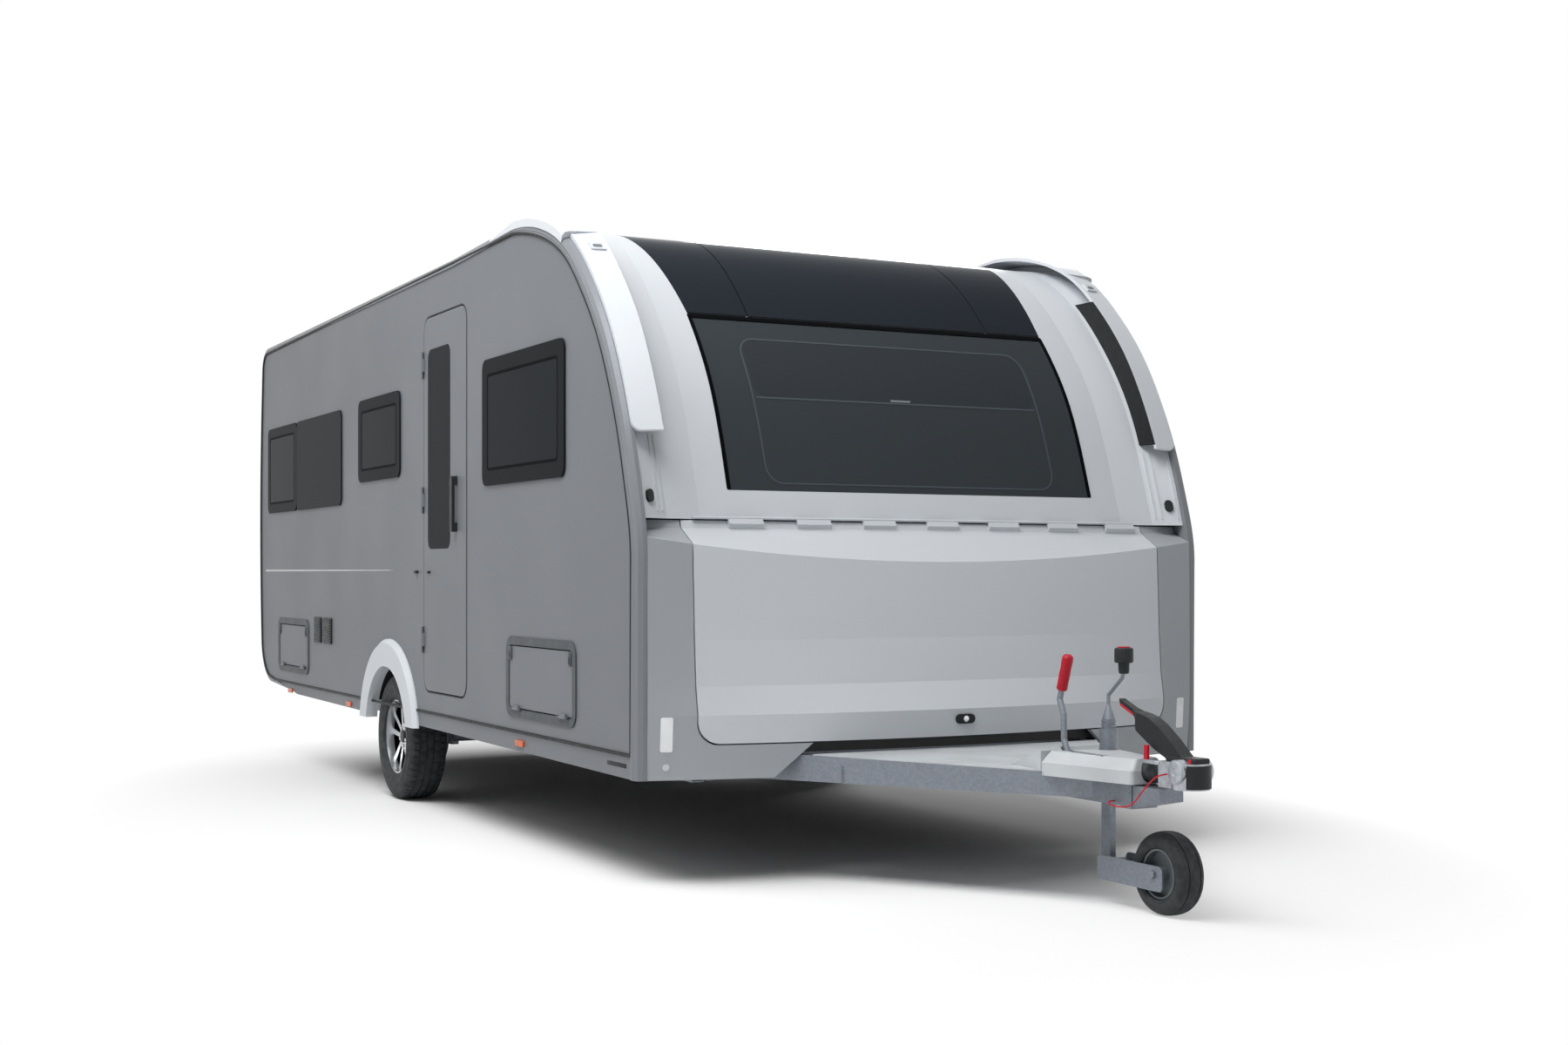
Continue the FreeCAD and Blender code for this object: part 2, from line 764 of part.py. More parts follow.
nose_height = shell_foot_z - skirt_bottom_z
lid_half_width = half_width - lid_side_setback
lid_bottom_z = floor_bottom_z + lid_foot_rise
lid_top_z = shell_foot_z - lid_head_drop
lid_hinge_x = shell_foot_x + lid_hinge_reach
lid_hinge_z = shell_foot_z + lid_hinge_rise
lid_knuckle_length = lid_half_width * 2 * lid_hinge_share / lid_knuckle_count


def nose_level(row):
    """One row of the nose as (middle z, corner z, middle x, corner x)."""
    return (skirt_bottom_z + row[0] * nose_height, skirt_bottom_z + row[1] * nose_height,
            body_front_x + row[2] * nose_bulge, body_front_x + row[3] * nose_bulge)


def nose_solid(inset):
    """The whole nose as a solid, made smaller all round by the inset but run on at its foot and head."""
    edge_y = trim_inner_y - inset
    reach = inset * 2
    levels = [nose_level(row) for row in nose_row_shares]
    foot = levels[0]
    below = levels[-2]
    head = levels[-1]
    slope = (below[2] - head[2]) / (head[0] - below[0])
    levels[0] = (foot[0] - reach, foot[1] - reach, foot[2], foot[3])
    levels[-1] = (head[0] + reach, head[1] + reach, head[2] - reach * slope, head[3] - reach * slope)
    wires = []
    for centre_z, edge_z, centre_x, edge_x in levels:
        a = V(nose_back_x - reach, -edge_y, edge_z)
        b = V(edge_x - inset, -edge_y, edge_z)
        c = V(centre_x - inset, 0, centre_z)
        d = V(edge_x - inset, edge_y, edge_z)
        e = V(nose_back_x - reach, edge_y, edge_z)
        wires.append(Part.Wire([line(a, b), arc(b, c, d), line(d, e), line(e, a)]))
    return Part.makeLoft(wires, True, True)


def nose_skin():
    """The outer skin of the nose, open behind, above and below."""
    return nose_solid(0.0).cut(nose_solid(nose_thickness))


def lid_area(grow):
    """The outline of the locker lid, seen from the front."""
    half = lid_half_width + grow
    area = block(nose_back_x, half_length, -half, half, lid_bottom_z - grow, lid_top_z + cut_overrun)
    low = [edge for edge in area.Edges if edge.Vertexes[0].Y == edge.Vertexes[-1].Y
           and edge.Vertexes[0].Z == edge.Vertexes[-1].Z and edge.Vertexes[0].Z < lid_top_z]
    return area.makeFillet(lid_corner_radius, low)


def nose_moulding():
    """The two corners beside the lid and the valance below, cut away over the drawbar."""
    skin = nose_skin().cut(lid_area(door_gap))
    low = half_width * valance_bottom_share
    high = half_width * valance_top_share
    x = nose_back_x - cut_overrun
    points = [V(x, -low, skirt_bottom_z), V(x, low, skirt_bottom_z), V(x, high, lid_bottom_z),
              V(x, -high, lid_bottom_z)]
    return skin.cut(prism(points, V(half_length, 0, 0)))


def lid_knuckles(start_index):
    """Every other knuckle of the long hinge over the lid, as (start, end) across the vehicle."""
    first = -lid_knuckle_length * lid_knuckle_count / 2
    starts = [first + k * lid_knuckle_length for k in range(start_index, lid_knuckle_count, 2)]
    return [(y + pin_gap, y + lid_knuckle_length - pin_gap) for y in starts]


def lid_barrel(y0, y1):
    """One knuckle on the lid's hinge line."""
    return rod(V(lid_hinge_x, y0, lid_hinge_z), V(lid_hinge_x, y1, lid_hinge_z), hinge_radius)


def locker_lid():
    """The front lid of the gas locker with its knuckles of the long hinge."""
    pieces = [nose_skin().common(lid_area(0.0))]
    for y0, y1 in lid_knuckles(1):
        leaf = [(lid_hinge_x - leaf_thickness, lid_hinge_z), (lid_hinge_x + leaf_thickness, lid_hinge_z),
                (lid_hinge_x + lid_leaf_reach, lid_hinge_z - lid_leaf_fall / 2),
                (lid_hinge_x + leaf_thickness, lid_hinge_z - lid_leaf_fall)]
        pieces += [lid_barrel(y0, y1), prism_y(leaf, y0, y1)]
    return fused(pieces)


def lid_hinge_seats():
    """The fixed knuckles of the lid's hinge, on the foot of the front shell."""
    seats = []
    for y0, y1 in lid_knuckles(0):
        seats += [lid_barrel(y0, y1), block(shell_foot_x - hinge_radius * 2, lid_hinge_x, y0, y1, lid_hinge_z,
                                            lid_hinge_z + hinge_radius)]
    return seats


# Bulkhead, shelf, floor and wheel housings
bulkhead_setback = 460.0
bulkhead_thickness = 25.0
shelf_setback = 142.0
floor_front_setback = 32.0
floor_front_bulge = 150.0
floor_rear_setback = 67.0
housing_gap = 83.0
housing_thickness = 12.0
housing_setback = 300.0
housing_radius = tyre_radius + housing_gap
housing_inner_y = half_width - housing_setback


def front_bulkhead():
    """The wall behind the gas locker and the shelf over it."""
    rear = body_front_x - bulkhead_setback
    wall = block(rear, rear + bulkhead_thickness, -wall_inner_y, wall_inner_y, floor_top_z, shell_foot_z)
    shelf_half = trim_inner_y - nose_thickness
    shelf = block(rear, body_front_x - shelf_setback, -shelf_half, shelf_half, shell_foot_z - bulkhead_thickness,
                  shell_foot_z)
    return fused([wall, shelf])


def floor_panel():
    """The floor between the walls, bowed forward under the locker and cut for the wheels."""
    z = floor_bottom_z
    rear = rear_x + floor_rear_setback
    front = body_front_x - floor_front_setback
    edge = wall_inner_y
    inner = trim_inner_y - nose_thickness
    right = [V(rear, -edge, z), V(nose_back_x, -edge, z), V(nose_back_x, -inner, z), V(front, -inner, z)]
    left = [V(front, inner, z), V(nose_back_x, inner, z), V(nose_back_x, edge, z), V(rear, edge, z)]
    edges = [line(a, b) for a, b in zip(right, right[1:])]
    edges.append(arc(right[-1], V(front + floor_front_bulge, 0, z), left[0]))
    edges += [line(a, b) for a, b in zip(left, left[1:])]
    edges.append(line(left[-1], right[0]))
    plate = Part.Face(Part.Wire(edges)).extrude(V(0, 0, floor_thickness))
    inside = outline_prism(skin_drop + wall_thickness, -half_width, half_width)
    plate = plate.cut(block(rear_x, axle_x, -half_width, half_width, z, floor_top_z).cut(inside))
    for side in SIDES:
        plate = plate.cut(arch_cylinder(housing_radius, side, housing_inner_y, half_width))
    return plate


def wheel_housings():
    """The half-round boxes over the wheels, closed on their inner side."""
    outer = arch_cylinder(housing_radius, -1, housing_inner_y, wall_inner_y)
    inner = arch_cylinder(housing_radius - housing_thickness, -1, housing_inner_y + housing_thickness,
                          wall_inner_y + cut_overrun)
    low = block(rear_x, half_length, -half_width, 0, -housing_radius, floor_bottom_z)
    return both_sides(outer.cut(inner).cut(low))


def wheel_arches():
    """The proud flares round the wheel openings."""
    outer = arch_cylinder(arch_outer_radius, -1, half_width, half_width + arch_proud)
    lip = arch_cylinder(wheel_arch_radius, -1, wall_inner_y, half_width + arch_proud)
    inner = arch_cylinder(wheel_arch_radius - arch_lip, -1, wall_inner_y - cut_overrun,
                          half_width + arch_proud + cut_overrun)
    flare = fused([outer, lip]).cut(inner)
    low = block(rear_x, half_length, -body_width, 0, -arch_outer_radius, skirt_bottom_z)
    rim_edges = [edge for edge in flare.Edges if edge.Curve.TypeId == "Part::GeomCircle"
                 and abs(edge.Curve.Radius - arch_outer_radius) < pin_gap
                 and edge.BoundBox.YMin < -half_width - arch_proud / 2]
    return both_sides(flare.makeChamfer(arch_chamfer, rim_edges).cut(low))


# Panes, blinds, vents and marker lamps on the sides
vent_shares = ((0.2335, 0.2579, 0.1039, 0.1738), (0.2677, 0.2952, 0.1039, 0.1738))
vent_proud = 9.0
vent_radius = 12.0
marker_shares = (0.1368, 0.3550, 0.7973)
marker_proud = 8.0
marker_length = 90.0
marker_height = 24.0
marker_radius = 5.0
marker_rise = 40.0


def pane(area, side):
    """A pane that stands proud of the wall over its hole."""
    return rounded_y(area, corner_radius, side * half_width, side * (half_width + pane_thickness))


def side_windows():
    """All panes on both side walls; the long rear ones are in two pieces."""
    panes = []
    for side, areas in ((-1, right_windows), (1, left_windows)):
        for area in areas:
            if area is rear_window_area:
                x0, x1, z0, z1 = area
                split = along(rear_window_split_share)
                panes.append(pane((x0, split - groove / 2, z0, z1), side))
                panes.append(pane((split + groove / 2, x1, z0, z1), side))
            else:
                panes.append(pane(area, side))
    return Part.makeCompound(panes)


def window_blinds():
    """Drawn blinds in the holes behind the side windows."""
    blinds = []
    for side, areas in ((-1, right_windows), (1, left_windows)):
        y0 = side * (wall_inner_y + blind_setback - blind_thickness)
        y1 = side * (wall_inner_y + blind_setback)
        for area in areas:
            x0, x1, z0, z1 = shrunk(area, pane_lap)
            if area is rear_window_area:
                x1 = along(rear_window_split_share)
            blinds.append(rounded_y((x0, x1, z0, z1), corner_radius, y0, y1))
    return Part.makeCompound(blinds)


def fridge_vents():
    """The two vent grilles beside the rear hatch."""
    return Part.makeCompound([rounded_y(span(shares), vent_radius, -half_width - vent_proud, -half_width)
                              for shares in vent_shares])


def side_markers():
    """Small marker lamps along both skirts."""
    lamps = []
    z = skirt_bottom_z + marker_rise
    for share in marker_shares:
        x = along(share)
        area = (x - marker_length / 2, x + marker_length / 2, z - marker_height / 2, z + marker_height / 2)
        lamps.append(rounded_y(area, marker_radius, -half_width - marker_proud, -half_width))
    return both_sides(Part.makeCompound(lamps))


# Hatches
hatch_lid_proud = 3.0
hatch_hinge_y = half_width + hatch_proud + pin_gap + hinge_radius


def hatch_inner(area):
    """The free opening inside a hatch frame."""
    return shrunk(area, hatch_border)


def hatch_axis_z(area):
    """Height of the hinge line below a hatch lid."""
    return hatch_inner(area)[2] + door_gap - hinge_radius


def hatch_hinge_places(area):
    """Where the lid's barrels start along the hinge line."""
    x0, x1 = hatch_inner(area)[:2]
    return (x0 + hinge_length, x1 - hinge_length * 2)


def hatch_frame(area, side):
    """A frame in the wall round a hatch, with the fixed halves of its hinges."""
    y_in = side * wall_inner_y
    y_out = side * (half_width + hatch_proud)
    frame = rounded_y(area, hatch_radius + hatch_border, y_in, y_out)
    frame = frame.cut(rounded_y(hatch_inner(area), hatch_radius, y_in - side * cut_overrun,
                                y_out + side * cut_overrun))
    pieces = [frame]
    z = hatch_axis_z(area)
    y = side * hatch_hinge_y
    y_leaf = y_out - side * leaf_thickness
    for x in hatch_hinge_places(area):
        for start in (x - hinge_length / 2, x + hinge_length):
            end = start + hinge_length / 2
            pieces.append(rod(V(start, y, z), V(end, y, z), hinge_radius))
            pieces.append(slab_y((start, end, z - hinge_radius, z), y, y_leaf))
    return fused(pieces)


def hatch_frames():
    """The frames of all hatches on both sides."""
    frames = [hatch_frame(area, -1) for area in right_hatches]
    frames += [hatch_frame(area, 1) for area in left_hatches]
    return Part.makeCompound(frames)


def hatch_lid(area, side):
    """A wall-thick lid hinged along its lower edge."""
    y_out = side * (half_width + hatch_lid_proud)
    y_leaf = y_out - side * leaf_thickness
    pieces = [rounded_y(shrunk(hatch_inner(area), door_gap), hatch_radius - door_gap, side * wall_inner_y, y_out)]
    z = hatch_axis_z(area)
    y = side * hatch_hinge_y
    z_high = hatch_inner(area)[2] + door_gap + hinge_radius * 2
    for x in hatch_hinge_places(area):
        x0 = x + pin_gap
        x1 = x + hinge_length - pin_gap
        pieces.append(rod(V(x0, y, z), V(x1, y, z), hinge_radius))
        pieces.append(slab_y((x0, x1, z, z_high), y, y_leaf))
    return fused(pieces)


# Entrance door
door_hinge_back = 2.0
door_hinge_shares = (0.1200, 0.4947, 0.8577)
door_skin_proud = 2.0
door_handle_shares = (0.7443, 0.80, 0.4227, 0.5656)
handle_proud = 26.0
handle_grip = 14.0
handle_foot = 40.0
door_hinge_x = door_area[0] - door_hinge_back
door_hinge_y = half_width + hinge_radius * 2
door_hinge_heights = [door_area[2] + share * (door_area[3] - door_area[2]) for share in door_hinge_shares]


def entrance_door():
    """The door leaf, as thick as the wall, with the hole of its window."""
    leaf_area = shrunk(door_area, door_gap)
    y_out = -(half_width + door_skin_proud)
    leaf = rounded_y(leaf_area, door_radius - door_gap, -wall_inner_y, y_out)
    leaf = leaf.cut(rounded_y(door_glass_area, corner_radius, -wall_inner_y + cut_overrun, y_out - cut_overrun))
    pieces = [leaf]
    reach = leaf_area[0] + hinge_radius * 2
    y0 = -door_hinge_y - leaf_thickness / 2
    y1 = -door_hinge_y + leaf_thickness / 2
    for z in door_hinge_heights:
        z0 = z + pin_gap
        z1 = z + hinge_length - pin_gap
        pieces.append(rod(V(door_hinge_x, -door_hinge_y, z0), V(door_hinge_x, -door_hinge_y, z1), hinge_radius))
        pieces.append(block(door_hinge_x, reach, y0, y1, z0, z1))
        pieces.append(block(reach - hinge_radius, reach, y0, -half_width, z0, z1))
    return fused(pieces)


def door_hinges():
    """The fixed halves of the entrance door's hinges on the wall behind the door."""
    pieces = []
    for z in door_hinge_heights:
        for start in (z - hinge_length / 2, z + hinge_length):
            end = start + hinge_length / 2
            barrel = rod(V(door_hinge_x, -door_hinge_y, start), V(door_hinge_x, -door_hinge_y, end), hinge_radius)
            leaf = block(door_hinge_x - hinge_radius * 3, door_hinge_x - hinge_radius / 2, -door_hinge_y,
                         -half_width, start, end)
            pieces.append(fused([barrel, leaf]))
    return Part.makeCompound(pieces)


def door_window():
    """The pane in the entrance door, filling its hole."""
    return rounded_y(door_glass_area, corner_radius, pane_thickness - half_width, -(half_width + door_skin_proud))


def door_handle():
    """The upright pull handle on the door's front edge."""
    face = half_width + door_skin_proud
    x0, x1, z0, z1 = part_of(door_area, door_handle_shares)
    bar = rounded_y((x0, x1, z0, z1), handle_grip / 2, -face - handle_proud, -face)
    gap = (x0 - cut_overrun, x1 + cut_overrun, z0 + handle_foot, z1 - handle_foot)
    return bar.cut(rounded_y(gap, handle_grip / 2, -face - handle_proud + handle_grip, -face + cut_overrun))


# Chassis rails
rail_setback = 380.0
rail_width = 50.0
rail_bottom_z = 330.0
rail_wall = 5.0
rail_rear_setback = 327.0
rail_front_setback = 273.0
rail_hole_radius = 34.0
rail_hole_shares = (0.1399, 0.2070, 0.2741, 0.3412, 0.6191, 0.6862, 0.7533, 0.8204)
cross_shares = (0.0153, 0.9852)
cross_height = 60.0
axle_tube_radius = 48.0
axle_tube_ahead = 165.0
axle_tube_z = 330.0
rail_y = half_width - rail_setback
rail_outer_y = rail_y + rail_width
rail_rear_x = rear_x + rail_rear_setback
rail_front_x = body_front_x - rail_front_setback
axle_tube_x = axle_x + axle_tube_ahead


def chassis_rails():
    """The two long channel rails and the cross members between them."""
    rail = block(rail_rear_x, rail_front_x, -rail_outer_y, -rail_y, rail_bottom_z, floor_bottom_z)
    rail = rail.cut(block(rail_rear_x - cut_overrun, rail_front_x + cut_overrun, rail_wall - rail_outer_y,
                          cut_overrun - rail_y, rail_bottom_z + rail_wall, floor_bottom_z - rail_wall))
    rail = rail.cut(rod(V(axle_tube_x, -half_width, axle_tube_z), V(axle_tube_x, 0, axle_tube_z),
                        axle_tube_radius))
    middle_z = (rail_bottom_z + floor_bottom_z) / 2
    for share in rail_hole_shares:
        x = rail_rear_x + share * (rail_front_x - rail_rear_x)
        rail = rail.cut(rod(V(x, -half_width, middle_z), V(x, 0, middle_z), rail_hole_radius))
    pieces = [rail, mirrored_y(rail)]
    for share in cross_shares:
        x = rail_rear_x + share * (rail_front_x - rail_rear_x)
        pieces.append(block(x - rail_width / 2, x + rail_width / 2, -rail_outer_y, rail_outer_y,
                            floor_bottom_z - cross_height, floor_bottom_z))
    return fused(pieces)


# Drawbar: two tapering beams that meet in a box behind the coupling
beam_depth = 100.0
beam_fall = 24.0
beam_tip_reach = 467.0
beam_tip_y = 30.0
beam_width = 46.0
left_beam_reach = 661.0
drawbar_cross_share = 0.363
drawbar_cross_half = 560.0
box_rear_reach = 727.0
box_strap_reach = 338.0
box_step_reach = 285.0
box_tip_reach = 152.0
box_half = 48.0
box_bottom_z = 351.0
box_tip_bottom_z = 378.0
box_tip_top_z = 422.0
strap_proud = 4.0
strap_bottom_z = 346.0
beam_tip_x = half_length - beam_tip_reach
left_beam_end_x = half_length - left_beam_reach
beam_bottom_z = floor_bottom_z - beam_depth
beam_tip_top_z = floor_bottom_z - beam_fall


def beam_y(x):
    """How far a beam's outer face lies from the middle."""
    share = (x - rail_front_x) / (beam_tip_x - rail_front_x)
    return rail_outer_y + share * (beam_tip_y - rail_outer_y)


def beam_top_z(x):
    """Height of a beam's upper face."""
    return floor_bottom_z - beam_fall * (x - rail_front_x) / (beam_tip_x - rail_front_x)


def beam(side, end_x):
    """One leg of the drawbar, tapering towards the coupling."""
    wires = []
    for x in (rail_front_x, end_x):
        outer = side * beam_y(x)
        inner = side * (beam_y(x) - beam_width)
        corners = [V(x, outer, beam_bottom_z), V(x, inner, beam_bottom_z), V(x, inner, beam_top_z(x)),
                   V(x, outer, beam_top_z(x))]
        wires.append(Part.makePolygon(corners + [corners[0]]))
    return Part.makeLoft(wires, True, True)


# Jockey wheel, standing on the ground beside the coupling
jockey_reach = 582.0
jockey_y = 86.0
jockey_tube_radius = 30.0
jockey_tube_wall = 4.0
jockey_tube_bottom_z = 340.0
jockey_tube_top_z = 575.0
jockey_stem_half_x = 23.0
jockey_stem_half_y = 12.0
jockey_stem_bottom_z = 150.0
jockey_stem_top_z = 490.0
jockey_bore_radius = 26.3
jockey_wheel_radius = 135.0
jockey_wheel_width = 100.0
jockey_tyre_side_share = 0.75
jockey_tyre_steps = 6
jockey_trail = 310.0
jockey_rim_radius = 80.0
jockey_rim_share = 0.8
jockey_disc_share = 0.25
jockey_axle_radius = 10.0
fork_plate = 6.0
fork_gap = 6.0
fork_low_z = 82.0
fork_high_z = 163.0
fork_radius = 18.0
fork_nose = 45.0
fork_start = 20.0
fork_bridge = 34.0
fork_collar_radius = 24.0
fork_eye_radius = 22.0
clamp_radius = 42.0
clamp_low_z = 352.0
clamp_high_z = 430.0
head_radius = 22.0
head_height = 35.0
head_cone_height = 46.0
head_rib_count = 3
crank_radius = 6.5
crank_rise = 33.0
crank_reach = 82.0
crank_lift = 87.0
crank_bend_shares = (0.9, 0.7)
knob_low_radius = 17.0
knob_radius = 29.0
knob_foot_height = 26.0
knob_height = 46.0
jockey_x = half_length - jockey_reach
jockey_wheel_x = jockey_x + jockey_trail


def drawbar_frame():
    """The drawbar: two beams, the box behind the coupling and the jockey wheel's clamp."""
    rear = half_length - box_rear_reach
    strap = half_length - box_strap_reach
    step = half_length - box_step_reach
    tip = half_length - box_tip_reach
    box = prism_y([(rear, box_bottom_z), (step, box_bottom_z), (tip, box_tip_bottom_z), (tip, box_tip_top_z),
                   (step, box_tip_top_z), (strap, beam_tip_top_z), (rear, beam_tip_top_z)], -box_half, box_half)
    band = block(strap, step, -box_half - strap_proud, box_half + strap_proud, strap_bottom_z, box_tip_top_z)
    clamp = rod(V(jockey_x, jockey_y, clamp_low_z), V(jockey_x, jockey_y, clamp_high_z), clamp_radius)
    bridge = block(left_beam_end_x - beam_width, jockey_x, 0, jockey_y + clamp_radius, clamp_low_z, clamp_high_z)
    cross_x = rail_front_x + drawbar_cross_share * (beam_tip_x - rail_front_x)
    cross = block(cross_x, cross_x + beam_width, -drawbar_cross_half, drawbar_cross_half, beam_bottom_z,
                  beam_bottom_z + cross_height)
    frame = fused([beam(-1, beam_tip_x), beam(1, left_beam_end_x), box, band, clamp, bridge, cross])
    return frame.cut(rod(V(jockey_x, jockey_y, 0), V(jockey_x, jockey_y, roof_z), jockey_tube_radius))


def jockey_tube():
    """The fixed outer tube of the jockey wheel with its gear head and crank."""
    bottom = V(jockey_x, jockey_y, jockey_tube_bottom_z)
    top = V(jockey_x, jockey_y, jockey_tube_top_z)
    body = rod(bottom, top, jockey_tube_radius)
    body = body.cut(rod(bottom, top - AXIS_Z * jockey_tube_wall, jockey_bore_radius))
    neck = top + AXIS_Z * head_height
    pieces = [body, rod(top, neck, head_radius),
              Part.makeCone(head_radius, crank_radius, head_cone_height, neck, AXIS_Z)]
    pitch = head_height / head_rib_count
    for k in range(head_rib_count):
        low = top + AXIS_Z * (k * pitch)
        pieces.append(rod(low, low + AXIS_Z * (pitch / 2), head_radius + groove))
    elbow = neck + AXIS_Z * (head_cone_height + crank_rise)
    run, rise = crank_bend_shares
    bend = elbow + V(crank_reach * run, 0, crank_lift * rise)
    knee = elbow + V(crank_reach, 0, crank_lift)
    pieces += [rod(neck, elbow, crank_radius), rod(elbow, bend, crank_radius), rod(bend, knee, crank_radius),
               Part.makeSphere(crank_radius, elbow), Part.makeSphere(crank_radius, bend)]
    knob = knee + AXIS_Z * knob_foot_height
    pieces += [rod(knee, knob, knob_low_radius), rod(knob, knob + AXIS_Z * knob_height, knob_radius)]
    return fused(pieces)


def jockey_stem():
    """The flat inner tube that slides in the outer tube."""
    return block(jockey_x - jockey_stem_half_x, jockey_x + jockey_stem_half_x, jockey_y - jockey_stem_half_y,
                 jockey_y + jockey_stem_half_y, jockey_stem_bottom_z + pin_gap, jockey_stem_top_z)


def jockey_fork():
    """The swivelling fork: two flat plates from the stem to the wheel's axle."""
    reach = jockey_wheel_width / 2 + fork_gap
    outer = reach + fork_plate
    start = jockey_x + fork_start
    pieces = []
    for side in SIDES:
        y0 = jockey_y + side * reach
        y1 = jockey_y + side * outer
        pieces.append(rounded_y((start, jockey_wheel_x + fork_nose, fork_low_z, fork_high_z), fork_radius, y0, y1))
        pieces.append(rod(V(jockey_wheel_x, y0, jockey_wheel_radius), V(jockey_wheel_x, y1, jockey_wheel_radius),
                          fork_eye_radius))
    low = fork_low_z + fork_radius
    high = fork_high_z - fork_radius
    pieces.append(block(start, start + fork_bridge, jockey_y - reach - fork_plate / 2,
                        jockey_y + reach + fork_plate / 2, low, high))
    pieces.append(rod(V(jockey_x, jockey_y, fork_low_z), V(jockey_x, jockey_y, jockey_stem_bottom_z),
                      fork_collar_radius))
    pieces.append(rod(V(jockey_wheel_x, jockey_y - reach, jockey_wheel_radius),
                      V(jockey_wheel_x, jockey_y + reach, jockey_wheel_radius), jockey_axle_radius))
    return fused(pieces)


def wheel_ring(centre, rows):
    """A turned ring about an axle along Y, from rows of (radius, distance along the axle)."""
    points = [V(centre.x + radius, centre.y + distance, centre.z) for radius, distance in rows]
    wire = Part.makePolygon(points + [points[0]])
    return Part.Face(wire).revolve(centre, AXIS_Y, full_turn_deg)


def jockey_tyre():
    """The solid rubber tyre of the jockey wheel, round across its tread."""
    centre = V(jockey_wheel_x, jockey_y, jockey_wheel_radius)
    half = jockey_wheel_width / 2
    side_radius = jockey_wheel_radius * jockey_tyre_side_share
    crown = jockey_wheel_radius - side_radius
    rows = [(jockey_rim_radius, -half * jockey_rim_share)]
    for k in range(jockey_tyre_steps + 1):
        angle = pi * (k / jockey_tyre_steps - 1 / 2)
        rows.append((side_radius + crown * cos(angle), half * sin(angle)))
    rows.append((jockey_rim_radius, half * jockey_rim_share))
    return wheel_ring(centre, rows)


def jockey_rim():
    """The rim of the jockey wheel on its axle."""
    centre = V(jockey_wheel_x, jockey_y, jockey_wheel_radius)
    half = jockey_wheel_width / 2
    edge = half * jockey_rim_share
    disc = half * jockey_disc_share
    bore = jockey_axle_radius + pin_gap
    hub = bore * 2
    inner = jockey_rim_radius - fork_plate
    side = [(bore, half), (hub, half), (hub, disc), (inner, disc), (inner, edge), (jockey_rim_radius, edge)]
    return wheel_ring(centre, [(radius, -distance) for radius, distance in side] + side[::-1])


# Road wheels and axle
wheel_setback = 15.0
rim_radius = 178.0
rim_flange_radius = 192.0
rim_half_width = 76.0
rim_wall = 6.0
rim_disc_y = 40.0
rim_disc_thickness = 18.0
rim_hub_radius = 62.0
spoke_pair_count = 5
spoke_root_y = 17.0
spoke_tip_y = 46.0
spoke_root_half = 11.0
spoke_tip_half = 13.0
tyre_shoulder_share = 0.62
tyre_bulge_share = 0.55
tread_drop = 9.0
stub_radius = 20.0
drum_radius = 120.0
arm_setback = 290.0
arm_thickness = 34.0
arm_height = 70.0
wheel_centre_y = half_width - wheel_setback - tyre_width / 2
arm_inner_y = half_width - arm_setback


def tyre(side):
    """A road tyre without its tread pattern."""
    half = tyre_width / 2
    middle = rim_radius + (tyre_radius - rim_radius) * tyre_bulge_share
    rows = [(rim_radius, rim_half_width), (rim_flange_radius, rim_half_width), (middle, half),
            (tyre_radius - tread_drop * 2, half - tread_drop), (tyre_radius, half * tyre_shoulder_share)]
    other = [(radius, -distance) for radius, distance in rows]
    return wheel_ring(V(axle_x, side * wheel_centre_y, hub_z), rows + other[::-1])


def rim(side):
    """A light-alloy rim with pairs of spokes on its stub axle."""
    centre = V(axle_x, side * wheel_centre_y, hub_z)
    edge = rim_half_width
    inner = rim_radius - rim_wall
    tip = inner + rim_wall / 2
    bore = stub_radius + pin_gap
    barrel = wheel_ring(centre, ((inner, -edge), (rim_radius, -edge), (rim_radius, edge), (inner, edge)))
    face = side * rim_disc_y
    back = face - side * rim_disc_thickness
    pieces = [wheel_ring(centre, ((bore, back), (rim_hub_radius, back), (rim_hub_radius, face), (bore, face)))]
    for k in range(spoke_pair_count):
        for lean in SIDES:
            root = lean * spoke_root_y
            end = lean * spoke_tip_y
            flat = ((root - spoke_root_half, rim_hub_radius - rim_wall * 2),
                    (root + spoke_root_half, rim_hub_radius - rim_wall * 2),
                    (end + spoke_tip_half, inner + rim_wall * 2), (end - spoke_tip_half, inner + rim_wall * 2))
            spoke = prism([centre + V(x, face, z) for x, z in flat], V(0, back - face, 0))
            pieces.append(turned(spoke, k * full_turn_deg / spoke_pair_count, AXIS_Y, centre))
    room = wheel_ring(centre, ((bore, -edge), (tip, -edge), (tip, edge), (bore, edge)))
    return fused([barrel, fused(pieces).common(room)])


def axle_beam():
    """The rubber-sprung axle: cross tube, trailing arms, stub axles and brake drums."""
    x = axle_tube_x
    pieces = [rod(V(x, -arm_inner_y, axle_tube_z), V(x, arm_inner_y, axle_tube_z), axle_tube_radius)]
    for side in SIDES:
        y0 = side * arm_inner_y
        y1 = side * (arm_inner_y + arm_thickness)
        drum_end = side * (wheel_centre_y + rim_disc_y - rim_disc_thickness - door_gap)
        stub_end = side * (wheel_centre_y + rim_disc_y)
        pieces.append(slab_y((axle_x, x, hub_z - arm_height / 2, hub_z + arm_height / 2), y0, y1))
        pieces.append(rod(V(x, y0, axle_tube_z), V(x, y1, axle_tube_z), axle_tube_radius))
        pieces.append(rod(V(axle_x, y0, hub_z), V(axle_x, y1, hub_z), arm_height / 2))
        pieces.append(rod(V(axle_x, y1, hub_z), V(axle_x, drum_end, hub_z), drum_radius))
        pieces.append(rod(V(axle_x, y1, hub_z), V(axle_x, stub_end, hub_z), stub_radius))
    return fused(pieces)


